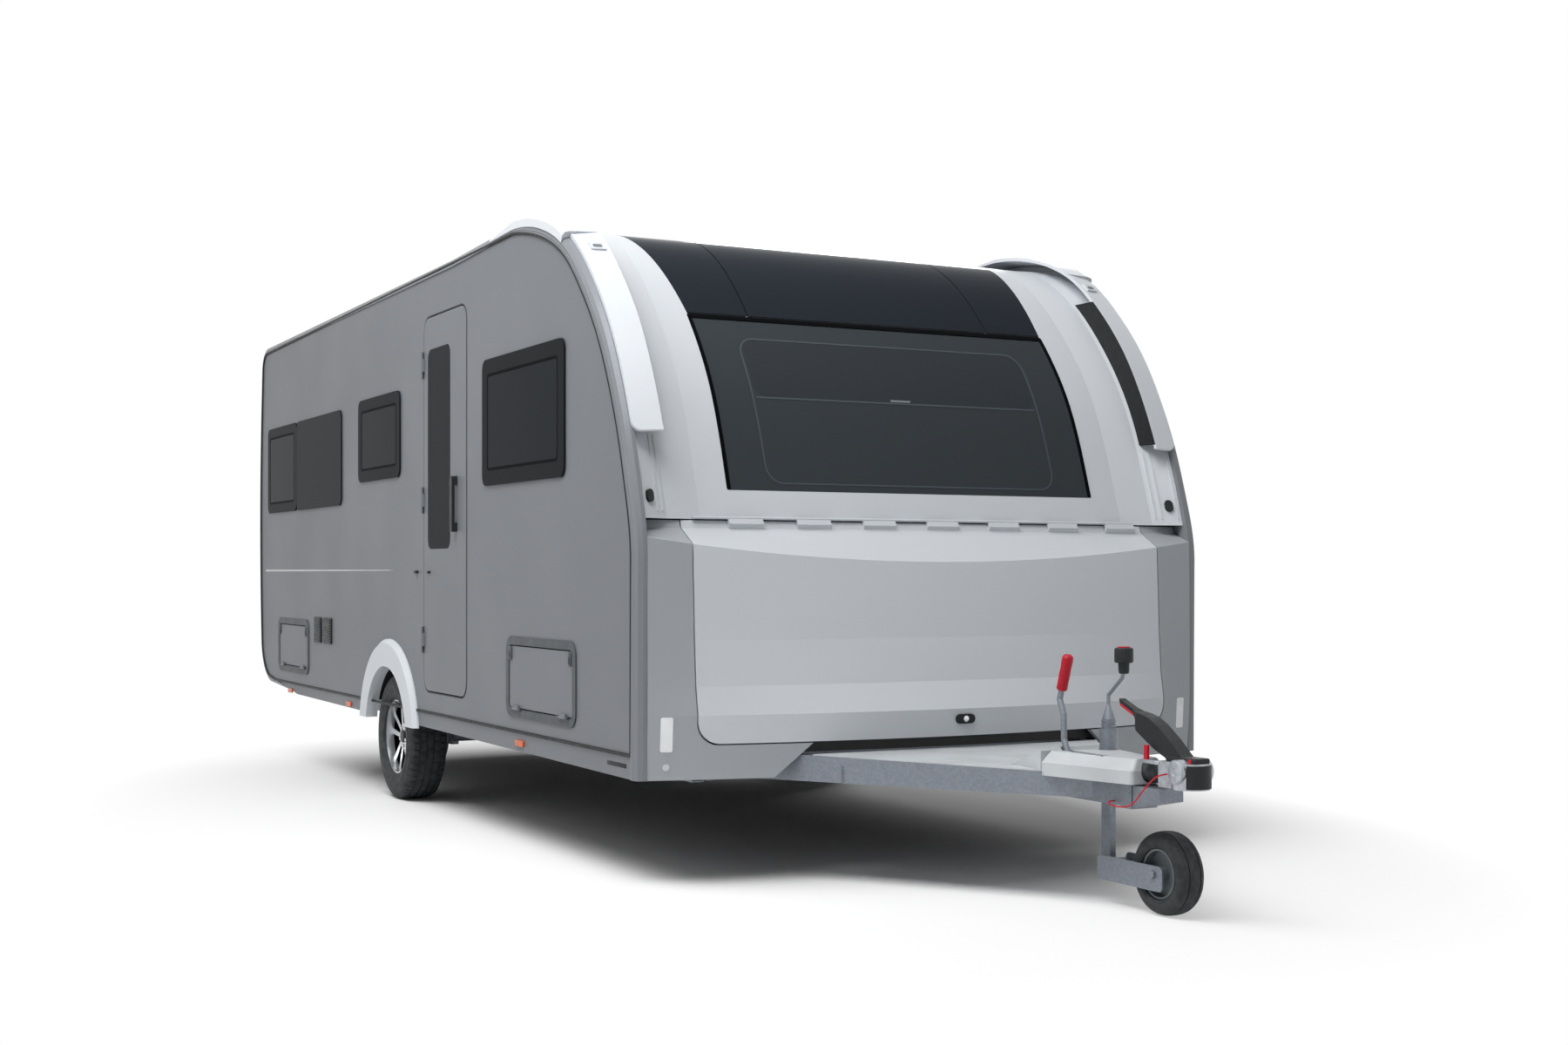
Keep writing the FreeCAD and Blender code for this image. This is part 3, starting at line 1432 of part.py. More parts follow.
# Corner steadies
steady_rear_share = 0.1645
steady_front_share = 0.8573
steady_setback = 470.0
steady_pivot_z = 372.0
steady_length = 410.0
steady_width = 46.0
steady_height = 34.0
steady_foot_radius = 55.0
steady_foot_thickness = 10.0
steady_pin_radius = 9.0
steady_plate = 5.0
spindle_radius = 11.0
spindle_drop = 22.0
steady_y = half_width - steady_setback
spindle_z = floor_bottom_z - spindle_drop
steady_places = ((along(steady_rear_share), -1, -1), (along(steady_rear_share), 1, -1),
                 (along(steady_front_share), -1, 1), (along(steady_front_share), 1, 1))


def steady_leg(x, side, way):
    """A corner leg folded up under the floor, with a round foot."""
    y = side * steady_y
    y0 = y - steady_width / 2
    y1 = y + steady_width / 2
    end = x + way * steady_length
    leg = slab_y((min(x, end), max(x, end), steady_pivot_z - steady_height / 2,
                  steady_pivot_z + steady_height / 2), y0, y1)
    knuckle = rod(V(x, y0, steady_pivot_z), V(x, y1, steady_pivot_z), steady_height / 2)
    foot = rod(V(end, y, steady_pivot_z), V(end + way * steady_foot_thickness, y, steady_pivot_z),
               steady_foot_radius)
    bore = rod(V(x, y0, steady_pivot_z), V(x, y1, steady_pivot_z), steady_pin_radius + pin_gap)
    return fused([leg, knuckle, foot]).cut(bore)


def steady_spindles():
    """The brackets, pins and drive spindles of the corner legs."""
    shapes = []
    half = steady_width / 2 + door_gap
    for x, side, way in steady_places:
        y = side * steady_y
        side_area = (x - steady_height, x + steady_height, steady_pivot_z - steady_height / 2, floor_bottom_z)
        ears = [slab_y(side_area, y + s * half, y + s * (half + steady_plate)) for s in SIDES]
        pin = rod(V(x, y - half, steady_pivot_z), V(x, y + half, steady_pivot_z), steady_pin_radius)
        far = x + way * (steady_length - steady_height)
        last = far + way * steady_height
        first = x - way * steady_height
        top = block(min(first, last), max(first, last), y - half - steady_plate, y + half + steady_plate,
                    floor_bottom_z - steady_plate, floor_bottom_z)
        bearing = block(min(far, last), max(far, last), y - steady_width / 2, y + steady_width / 2,
                        spindle_z - spindle_radius * 2, floor_bottom_z)
        spindle = rod(V(x, y, spindle_z), V(last + way * steady_height, y, spindle_z), spindle_radius)
        shapes.append(fused(ears + [pin, top, bearing, spindle]))
    return Part.makeCompound(shapes)


# Coupling head with its ball socket and friction pads
coupling_nose_radius = 60.0
coupling_half = 43.0
coupling_rear_reach = 163.0
coupling_top_z = 512.0
coupling_bottom_z = 430.0
ball_radius = 25.25
socket_depth = 34.0
pad_radius = 38.0
pad_half = 60.0
pad_z = 485.0
handle_half = 24.0
handle_grip_half = 12.0
handle_corner = 8.0
handle_run = 342.0
handle_rise = 180.0
handle_setback = 57.0
handle_grip_share = 0.80
handle_waist_share = 0.70
handle_shares = (
    (0.0, 0.0), (0.0, 0.03), (0.073, 0.128), (0.220, 0.357), (0.404, 0.595), (0.526, 0.711), (0.640, 0.765),
    (0.727, 0.789), (1.0, 0.997), (0.991, 0.908), (0.766, 0.722), (0.734, 0.661), (0.734, 0.489),
    (0.577, 0.317), (0.434, 0.167), (0.292, 0.056), (0.234, 0.0),
)
ball_x = half_length - coupling_nose_radius
coupling_rear_x = half_length - coupling_rear_reach


def coupling_head():
    """The ball coupling: housing with its socket open below, and the two round pad housings."""
    nose = rod(V(ball_x, 0, coupling_bottom_z), V(ball_x, 0, coupling_top_z), coupling_nose_radius)
    body = block(coupling_rear_x, ball_x, -coupling_half, coupling_half, coupling_bottom_z, coupling_top_z)
    pads = rod(V(ball_x, -pad_half, pad_z), V(ball_x, pad_half, pad_z), pad_radius)
    slot_half = handle_half + pin_gap
    slot = block(coupling_rear_x, half_length, -slot_half, slot_half, coupling_top_z, coupling_top_z + pad_radius)
    mouth = V(ball_x, 0, coupling_bottom_z + socket_depth)
    socket = rod(V(ball_x, 0, coupling_bottom_z - cut_overrun), mouth, ball_radius)
    return fused([nose, body, pads]).cut(slot).cut(socket).cut(Part.makeSphere(ball_radius, mouth))


def stabiliser_handle():
    """The lever that presses the coupling's friction pads, laid back over the drawbar."""
    front = half_length - handle_setback
    side_view = prism_y([(front - back * handle_run, coupling_top_z + rise * handle_rise)
                         for back, rise in handle_shares], -handle_half, handle_half)
    grip_x = front - handle_grip_share * handle_run
    waist_x = front - handle_waist_share * handle_run
    rear = front - handle_run - handle_corner
    right = [V(rear, -handle_grip_half, 0), V(grip_x, -handle_grip_half, 0), V(waist_x, -handle_half, 0),
             V(half_length, -handle_half, 0)]
    left = [V(p.x, -p.y, 0) for p in right[::-1]]
    plan = Part.Face(rounded_ring(right + left, handle_corner)).extrude(V(0, 0, roof_z))
    return side_view.common(plan)


# Overrun housing and shaft on the drawbar, with bellows
shaft_z = 466.0
shaft_radius = 22.0
unit_rear_reach = 617.0
unit_front_reach = 305.0
unit_half = 44.0
unit_top_z = 496.0
unit_foot_half = 80.0
unit_plate = 5.0
bellows_radius = 34.0
bellows_folds = 5
bellows_depth = 8.0
unit_rear_x = half_length - unit_rear_reach
unit_front_x = half_length - unit_front_reach


def overrun_unit():
    """The overrun housing on the drawbar with the sliding shaft to the coupling."""
    low = beam_top_z(unit_rear_x) + pin_gap
    housing = block(unit_rear_x, unit_front_x, -unit_half, unit_half, low, unit_top_z)
    shaft = rod(V(unit_front_x, 0, shaft_z), V(coupling_rear_x, 0, shaft_z), shaft_radius)
    plate = block(unit_rear_x, beam_tip_x, -unit_foot_half, -unit_half, low, low + unit_plate)
    foot = block(beam_tip_x + unit_plate, half_length - box_strap_reach, -box_half, box_half, beam_tip_top_z,
                 low + unit_plate)
    return fused([housing, shaft, plate, foot])


def bellows():
    """The rubber bellows over the shaft."""
    pitch = (coupling_rear_x - unit_front_x) / bellows_folds
    low = bellows_radius - bellows_depth
    rows = [V(unit_front_x, shaft_radius, 0)]
    for k in range(bellows_folds):
        x = unit_front_x + k * pitch
        rows += [V(x, low, 0), V(x + pitch / 2, bellows_radius, 0)]
    rows += [V(coupling_rear_x, low, 0), V(coupling_rear_x, shaft_radius, 0)]
    ring = Part.Face(Part.makePolygon(rows + [rows[0]])).revolve(V(0, 0, 0), AXIS_X, full_turn_deg)
    return moved(ring, 0, 0, shaft_z)


# Cover over the drawbar: a flat deck on the beams, a ramp and a hood over the overrun housing
deck_rear_share = 0.32
deck_thickness = 4.0
ramp_rear_reach = 817.0
ramp_half = 150.0
hood_rear_reach = 644.0
hood_front_reach = 257.0
hood_rear_half = 155.0
hood_front_half = 72.0
hood_bottom_z = 427.0
hood_shoulder_z = 470.0
hood_top_z = 507.0
hood_slope = 28.0
hood_radius = 16.0
hood_wall = 4.0
rib_half = 105.0
rib_length = 14.0
rib_top_z = 518.0
rib_foot_drop = 30.0
lever_y = -60.0
lever_slot_half = 17.0
lever_slot_front_reach = 403.0
lever_slot_rear_reach = 638.0
hood_rear_x = half_length - hood_rear_reach
hood_front_x = half_length - hood_front_reach


def deck():
    """The flat plate that lies on both beams."""
    rear = rail_front_x + deck_rear_share * (beam_tip_x - rail_front_x)
    front = hood_rear_x + hood_wall
    corners = [V(x, side * beam_y(x), beam_top_z(x) + pin_gap)
               for x, side in ((rear, -1), (front, -1), (front, 1), (rear, 1))]
    return prism(corners, V(0, 0, deck_thickness))


def ramp():
    """The wedge that rises from the deck to the hood, open below."""
    rear = half_length - ramp_rear_reach
    low = beam_top_z(rear) + deck_thickness / 2
    foot = beam_top_z(hood_rear_x) + deck_thickness / 2
    outer = [(rear, low), (hood_rear_x + hood_wall, foot), (hood_rear_x + hood_wall, hood_top_z),
             (rear, low + deck_thickness / 2)]
    inner = [(rear + hood_slope * 2, low - hood_wall), (hood_rear_x, foot - hood_wall),
             (hood_rear_x, hood_top_z - hood_wall * 3)]
    hollow = prism_y(inner, hood_wall - ramp_half, ramp_half - hood_wall)
    return prism_y(outer, -ramp_half, ramp_half).cut(hollow).cut(deck())


def hood_level(z, slope, inset):
    """One level of the hood with round corners."""
    rear = hood_rear_x + slope / 2 + inset
    front = hood_front_x - slope / 2 - inset
    wide = hood_rear_half - slope - inset
    narrow = hood_front_half - slope - inset
    return rounded_ring([V(rear, -wide, z), V(front, -narrow, z), V(front, narrow, z), V(rear, wide, z)],
                        hood_radius - inset)


def hood():
    """The moulded hood over the overrun housing, open below and over the beams behind."""
    outer = Part.makeLoft([hood_level(hood_bottom_z, 0.0, 0.0), hood_level(hood_shoulder_z, 0.0, 0.0),
                           hood_level(hood_top_z, hood_slope, 0.0)], True, True)
    inner = Part.makeLoft([hood_level(hood_bottom_z - cut_overrun, 0.0, hood_wall),
                           hood_level(hood_shoulder_z - hood_wall / 2, 0.0, hood_wall),
                           hood_level(hood_top_z - hood_wall, hood_slope, hood_wall)], True, True)
    beams = hood_rear_half - hood_wall
    gap = block(hood_rear_x - cut_overrun, hood_rear_x + cut_overrun, -beams, beams, 0,
                beam_top_z(hood_rear_x) + deck_thickness / 2)
    return outer.cut(inner).cut(gap)


def drawbar_cover():
    """The cover over the front of the drawbar, resting on both beams."""
    rib = prism_y([(hood_rear_x, hood_top_z - rib_foot_drop), (hood_rear_x + rib_length * 2, hood_top_z - hood_wall),
                   (hood_rear_x + rib_length, rib_top_z), (hood_rear_x, rib_top_z)], -rib_half, rib_half)
    cover = fused([deck(), ramp(), hood(), rib])
    hole = rod(V(jockey_x, jockey_y, 0), V(jockey_x, jockey_y, roof_z), jockey_tube_radius + door_gap)
    slot = block(half_length - lever_slot_rear_reach, half_length - lever_slot_front_reach,
                 lever_y - lever_slot_half, lever_y + lever_slot_half, hood_shoulder_z, roof_z)
    mouth = rod(V(unit_front_x, 0, shaft_z), V(coupling_rear_x, 0, shaft_z), bellows_radius + pin_gap)
    return cover.cut(hole).cut(slot).cut(mouth)


# Handbrake lever, pulled up, by shares of its lean and height
lever_reach = 591.0
lever_lean = 65.0
lever_height = 373.0
lever_shares = ((0.0, 0.03), (0.646, 0.263), (0.677, 0.489), (1.0, 0.622), (0.815, 0.723))
lever_top_share = 0.308
lever_radius = 10.5
lever_foot_half = 14.0
lever_foot_height = 20.0
grip_radius = 17.0


def handbrake_lever():
    """The handbrake lever on its foot, with a thick grip."""
    x = half_length - lever_reach
    z = beam_top_z(unit_rear_x) + pin_gap + unit_plate
    points = [V(x - lean * lever_lean, lever_y, z + rise * lever_height) for lean, rise in lever_shares]
    top = V(x - lever_top_share * lever_lean, lever_y, z + lever_height)
    pieces = [block(x - lever_foot_half, x + lever_foot_half, lever_y - lever_foot_half,
                    lever_y + lever_foot_half, z, z + lever_foot_height)]
    for start, end in zip(points, points[1:]):
        pieces += [rod(start, end, lever_radius), Part.makeSphere(lever_radius, end)]
    pieces.append(rod(points[-1], top, grip_radius))
    return fused(pieces)


# Red safety cable from the coupling to the drawbar's box
cable_radius = 2.5
cable_start_reach = 114.0
cable_start_z = 474.0
cable_run = 261.0
cable_spread = 43.0
cable_fall = 122.0
cable_end_fall_share = 0.902
cable_bend_share = 0.45
cable_shares = (
    (0.0, 0.86, 0.0), (0.142, 1.0, 0.230), (0.295, 1.0, 0.508), (0.410, 1.0, 0.770), (0.556, 1.0, 0.951),
    (0.816, 1.0, 1.0), (1.0, 1.0, 0.902),
)


def cable_route():
    """Corners of the cable's way, from the coupling's side to the box's side."""
    start = V(half_length - cable_start_reach, -coupling_half, cable_start_z)
    corners = [start - V(run * cable_run, spread * cable_spread, fall * cable_fall)
               for run, spread, fall in cable_shares]
    end = V(corners[-1].x, -box_half, corners[-1].z)
    return [start] + corners + [end]


def rounded_path(points):
    """Straight runs along a route joined by tangent arcs."""
    edges = []
    start = points[0]
    for before, corner, after in zip(points, points[1:], points[2:]):
        run_in = corner - before
        run_out = after - corner
        setback = cable_bend_share * min(run_in.Length, run_out.Length)
        run_in.normalize()
        run_out.normalize()
        half_turn = run_in.getAngle(run_out) / 2
        radius = setback / tan(half_turn)
        inward = run_out - run_in
        inward.normalize()
        middle = corner + inward * (radius / cos(half_turn) - radius)
        end = corner + run_out * setback
        edges += [line(start, corner - run_in * setback), arc(corner - run_in * setback, middle, end)]
        start = end
    edges.append(line(start, points[-1]))
    return Part.Wire(edges)


def breakaway_cable():
    """The thin red cable beside the coupling."""
    route = cable_route()
    ring = Part.Wire([Part.makeCircle(cable_radius, route[0], route[1] - route[0])])
    return rounded_path(route).makePipeShell([ring], True, False)


NODES = {
    "floor_panel": floor_panel,
    "side_wall_right": lambda: side_wall(-1, right_windows, right_hatches),
    "side_wall_left": lambda: side_wall(1, left_windows, left_hatches),
    "roof_panel": roof_panel,
    "rear_panel": rear_panel,
    "rear_window": rear_window,
    "rear_lamps": rear_lamps,
    "plate_holder": plate_holder,
    "side_trims": side_trims,
    "skirts": skirts,
    "front_shell": front_shell,
    "front_window": front_window,
    "skylight_panels": skylight_panels,
    "front_wings": front_wings,
    "nose_moulding": nose_moulding,
    "front_bulkhead": front_bulkhead,
    "wheel_housings": wheel_housings,
    "wheel_arches": wheel_arches,
    "side_windows": side_windows,
    "window_blinds": window_blinds,
    "fridge_vents": fridge_vents,
    "side_markers": side_markers,
    "hatch_frames": hatch_frames,
    "door_hinges": door_hinges,
    "rooflight_frames": lambda: Part.makeCompound([rooflight_frame(x) for x in rooflight_places]),
    "chassis_rails": chassis_rails,
    "drawbar_frame": drawbar_frame,
    "axle_beam": axle_beam,
    "steady_spindles": steady_spindles,
    "overrun_unit": overrun_unit,
    "bellows": bellows,
    "coupling_head": coupling_head,
    "stabiliser_handle": stabiliser_handle,
    "drawbar_cover": drawbar_cover,
    "handbrake_lever": handbrake_lever,
    "jockey_tube": jockey_tube,
    "breakaway_cable": breakaway_cable,
    "entrance_door": entrance_door,
    "door_window": door_window,
    "door_handle": door_handle,
    "locker_lid": locker_lid,
    "hatch_lid_front": lambda: hatch_lid(front_hatch_area, -1),
    "hatch_lid_rear": lambda: hatch_lid(rear_hatch_area, -1),
    "hatch_lid_left": lambda: hatch_lid(left_hatch_area, 1),
    "rooflight_lid_front": lambda: rooflight_lid(rooflight_places[0]),
    "rooflight_lid_rear": lambda: rooflight_lid(rooflight_places[1]),
    "tyre_right": lambda: tyre(-1),
    "tyre_left": lambda: tyre(1),
    "rim_right": lambda: rim(-1),
    "rim_left": lambda: rim(1),
    "jockey_stem": jockey_stem,
    "jockey_fork": jockey_fork,
    "jockey_tyre": jockey_tyre,
    "jockey_rim": jockey_rim,
    "steady_leg_rear_right": lambda: steady_leg(*steady_places[0]),
    "steady_leg_rear_left": lambda: steady_leg(*steady_places[1]),
    "steady_leg_front_right": lambda: steady_leg(*steady_places[2]),
    "steady_leg_front_left": lambda: steady_leg(*steady_places[3]),
}

os.makedirs("parts", exist_ok=True)
for name, make in NODES.items():
    shape = make()
    box = shape.BoundBox
    print(name, "solids", len(shape.Solids), "valid", shape.isValid(), "volume", round(shape.Volume / 1000.0),
          "box", round(box.XMin), round(box.XMax), round(box.YMin), round(box.YMax), round(box.ZMin), round(box.ZMax))
    shape.exportStep("parts/" + name + ".step")
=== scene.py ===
from math import cos, pi, radians, sin

import bmesh
import bpy
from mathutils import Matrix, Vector
from mathutils.bvhtree import BVHTree

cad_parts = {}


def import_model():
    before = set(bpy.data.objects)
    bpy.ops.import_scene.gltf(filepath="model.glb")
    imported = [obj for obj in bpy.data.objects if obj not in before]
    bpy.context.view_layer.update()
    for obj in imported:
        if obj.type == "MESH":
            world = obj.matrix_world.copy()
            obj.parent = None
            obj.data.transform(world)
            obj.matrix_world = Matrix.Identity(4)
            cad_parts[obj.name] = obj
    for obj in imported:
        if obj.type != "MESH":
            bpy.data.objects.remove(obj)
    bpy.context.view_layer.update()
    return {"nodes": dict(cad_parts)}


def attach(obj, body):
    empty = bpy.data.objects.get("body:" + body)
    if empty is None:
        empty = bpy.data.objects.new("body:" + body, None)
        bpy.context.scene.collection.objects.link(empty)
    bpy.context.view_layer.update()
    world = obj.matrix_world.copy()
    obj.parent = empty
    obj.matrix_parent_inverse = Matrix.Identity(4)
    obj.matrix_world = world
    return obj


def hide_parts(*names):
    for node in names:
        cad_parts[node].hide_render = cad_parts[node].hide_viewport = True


# Travel caravan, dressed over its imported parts. Metres, +X forward, +Y left, +Z up.

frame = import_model()
nodes = frame["nodes"]
SIDES = ((-1, "right"), (1, "left"))


# Shader helpers

def linear(*levels):
    """A colour given in display levels from 0 to 255, for a shader."""
    values = [v / 255 for v in levels]
    return [v / 12.92 if v <= 0.04045 else ((v + 0.055) / 1.055) ** 2.4 for v in values] + [1.0]


class Shader:
    """A material under construction, with short calls for the nodes that it needs."""

    def __init__(self, name, colour, roughness, metallic=0.0, coat=0.0):
        self.material = bpy.data.materials.new(name)
        self.material.use_nodes = True
        self.tree = self.material.node_tree
        self.surface = self.tree.nodes["Principled BSDF"]
        self.colour = linear(*colour)
        self.set("Base Color", self.colour)
        self.set("Roughness", roughness)
        self.set("Metallic", metallic)
        self.set("Coat Weight", coat)
        self.set("Coat Roughness", 0.08)
        self.place = self.tree.nodes.new("ShaderNodeTexCoord").outputs["Object"]
        self.bumps = None

    def set(self, socket, value):
        """Gives a socket of the surface a fixed value."""
        self.surface.inputs[socket].default_value = value

    def link(self, output, node_input):
        """Joins an output to an input."""
        self.tree.links.new(output, node_input)

    def stretched(self, scale):
        """Object coordinates scaled by a different amount along each axis."""
        node = self.tree.nodes.new("ShaderNodeMapping")
        node.inputs["Scale"].default_value = scale
        self.link(self.place, node.inputs["Vector"])
        return node.outputs["Vector"]

    def noise(self, scale, detail, vector=None):
        """A soft cloudy pattern."""
        node = self.tree.nodes.new("ShaderNodeTexNoise")
        node.inputs["Scale"].default_value = scale
        node.inputs["Detail"].default_value = detail
        self.link(vector or self.place, node.inputs["Vector"])
        return node.outputs["Fac"]

    def cells(self, scale):
        """A pattern of cells, each with a level of its own."""
        node = self.tree.nodes.new("ShaderNodeTexVoronoi")
        node.inputs["Scale"].default_value = scale
        self.link(self.place, node.inputs["Vector"])
        grey = self.tree.nodes.new("ShaderNodeSeparateColor")
        self.link(node.outputs["Color"], grey.inputs["Color"])
        return grey.outputs["Red"]

    def waves(self, scale):
        """Bands that follow each other up the object."""
        node = self.tree.nodes.new("ShaderNodeTexWave")
        node.bands_direction = "Z"
        node.inputs["Scale"].default_value = scale
        self.link(self.place, node.inputs["Vector"])
        return node.outputs["Fac"]

    def spread(self, value, low, high, start=0.35, end=0.65):
        """A 0 to 1 value sent to the range from low to high."""
        node = self.tree.nodes.new("ShaderNodeMapRange")
        node.inputs["From Min"].default_value = start
        node.inputs["From Max"].default_value = end
        node.inputs["To Min"].default_value = low
        node.inputs["To Max"].default_value = high
        self.link(value, node.inputs["Value"])
        return node.outputs["Result"]

    def vary(self, value, darker, lighter, start=0.35, end=0.65):
        """The base colour made darker and lighter along a pattern."""
        node = self.tree.nodes.new("ShaderNodeMix")
        node.data_type = "RGBA"
        node.inputs["A"].default_value = [c * darker for c in self.colour[:3]] + [1.0]
        node.inputs["B"].default_value = [min(c * lighter, 1.0) for c in self.colour[:3]] + [1.0]
        self.link(self.spread(value, 0.0, 1.0, start, end), node.inputs["Factor"])
        self.link(node.outputs["Result"], self.surface.inputs["Base Color"])

    def roughen(self, value, low, high):
        """Roughness that follows a pattern."""
        self.link(self.spread(value, low, high), self.surface.inputs["Roughness"])

    def bump(self, value, depth):
        """A height pattern; calls add up."""
        node = self.tree.nodes.new("ShaderNodeBump")
        node.inputs["Distance"].default_value = depth
        node.inputs["Strength"].default_value = 1.0
        self.link(value, node.inputs["Height"])
        if self.bumps:
            self.link(self.bumps, node.inputs["Normal"])
        self.bumps = node.outputs["Normal"]
        self.link(self.bumps, self.surface.inputs["Normal"])


PAINT_FLAKE = 0.05
PANE_GLOSS = 0.012


def paint(name, colour, roughness, metallic):
    """Metallic paint with fine flakes, a faint orange peel and soft unevenness."""
    shader = Shader(name, colour, roughness, metallic, coat=0.05)
    shader.set("Specular IOR Level", 0.14)
    shader.vary(shader.noise(900, 1), 1 - PAINT_FLAKE, 1 + PAINT_FLAKE)
    shader.roughen(shader.noise(1.7, 2), roughness - 0.03, roughness + 0.03)
    shader.bump(shader.noise(240, 2), 0.00006)
    return shader.material


def plastic(name, colour, roughness=0.5, grain=0.00012):
    """Moulded plastic with a fine grain."""
    shader = Shader(name, colour, roughness)
    shader.set("Specular IOR Level", 0.25)
    shader.vary(shader.noise(6, 3), 0.93, 1.06)
    shader.roughen(shader.noise(30, 3), roughness - 0.06, roughness + 0.06)
    shader.bump(shader.noise(700, 2), grain)
    return shader.material


def glass(name, colour, alpha, roughness=0.04):
    """Tinted acrylic that shows a little of what is behind it."""
    shader = Shader(name, colour, roughness)
    shader.set("Alpha", alpha)
    shader.set("Specular IOR Level", PANE_GLOSS)
    shader.bump(shader.noise(1.4, 2), 0.0015)
    shader.roughen(shader.noise(3, 3), roughness, roughness + 0.05)
    return shader.material


def zinc(name, colour):
    """Hot-dip galvanised steel with its spangle and dull patches."""
    shader = Shader(name, colour, 0.42, 0.55)
    shader.vary(shader.cells(130), 0.90, 1.08, 0.0, 1.0)
    shader.roughen(shader.noise(25, 3), 0.40, 0.52)
    shader.bump(shader.noise(140, 3), 0.0002)
    return shader.material


def cast_metal(name, colour, roughness=0.38):
    """Cast or machined metal with fine tool marks."""
    shader = Shader(name, colour, roughness, 0.85)
    shader.vary(shader.noise(45, 4), 0.85, 1.12)
    shader.bump(shader.noise(400, 3), 0.00015)
    return shader.material


def rubber(name, colour, roughness=0.75):
    """Black rubber with a dusty bloom."""
    shader = Shader(name, colour, roughness)
    shader.vary(shader.noise(14, 4), 0.8, 1.35)
    shader.roughen(shader.noise(40, 3), roughness - 0.12, roughness + 0.1)
    shader.bump(shader.noise(320, 3), 0.0003)
    return shader.material


def lens(name, colour):
    """Coloured lamp plastic with fine level flutes."""
    shader = Shader(name, colour, 0.2, coat=0.1)
    shader.set("Specular IOR Level", 0.3)
    shader.vary(shader.waves(60), 0.85, 1.10)
    shader.bump(shader.waves(60), 0.0003)
    return shader.material


def blind_cloth(name, colour):
    """Pleated blind cloth, with the pleats' light and shade painted into its colour as bands."""
    shader = Shader(name, colour, 0.9)
    # Bands of painted light and shade for the pleats
    shader.vary(shader.waves(16), 0.62, 1.2)
    shader.bump(shader.noise(500, 2), 0.0003)
    return shader.material


def boards(name, colour):
    """Phenolic-faced plywood with streaks along its length."""
    shader = Shader(name, colour, 0.6)
    shader.vary(shader.noise(5, 5, shader.stretched((0.4, 3, 1))), 0.7, 1.3)
    shader.bump(shader.noise(120, 3), 0.0004)
    return shader.material


def pane_print(name, colour, roughness, grain):
    """Smooth print under the acrylic's gloss."""
    shader = Shader(name, colour, roughness)
    shader.set("Specular IOR Level", PANE_GLOSS)
    shader.vary(shader.noise(2, 2), 0.98, 1.02)
    shader.bump(shader.noise(700, 2), grain)
    return shader.material


RIM_POCKET_Y, RIM_FACE_Y = 1.1605, 1.1618


def rim_metal(name, colour, dark):
    """Alloy whose outer faces are machined bright and whose pockets are black."""
    shader = Shader(name, colour, 0.25, 0.8)
    apart = shader.tree.nodes.new("ShaderNodeSeparateXYZ")
    shader.link(shader.place, apart.inputs["Vector"])
    reach = shader.tree.nodes.new("ShaderNodeMath")
    reach.operation = "ABSOLUTE"
    shader.link(apart.outputs["Y"], reach.inputs[0])
    mix = shader.tree.nodes.new("ShaderNodeMix")
    mix.data_type = "RGBA"
    mix.inputs["A"].default_value = linear(*dark)
    mix.inputs["B"].default_value = shader.colour
    bright = shader.spread(reach.outputs["Value"], 0.0, 1.0, RIM_POCKET_Y, RIM_FACE_Y)
    shader.link(bright, mix.inputs["Factor"])
    shader.link(mix.outputs["Result"], shader.surface.inputs["Base Color"])
    shader.bump(shader.noise(300, 2), 0.0001)
    return shader.material


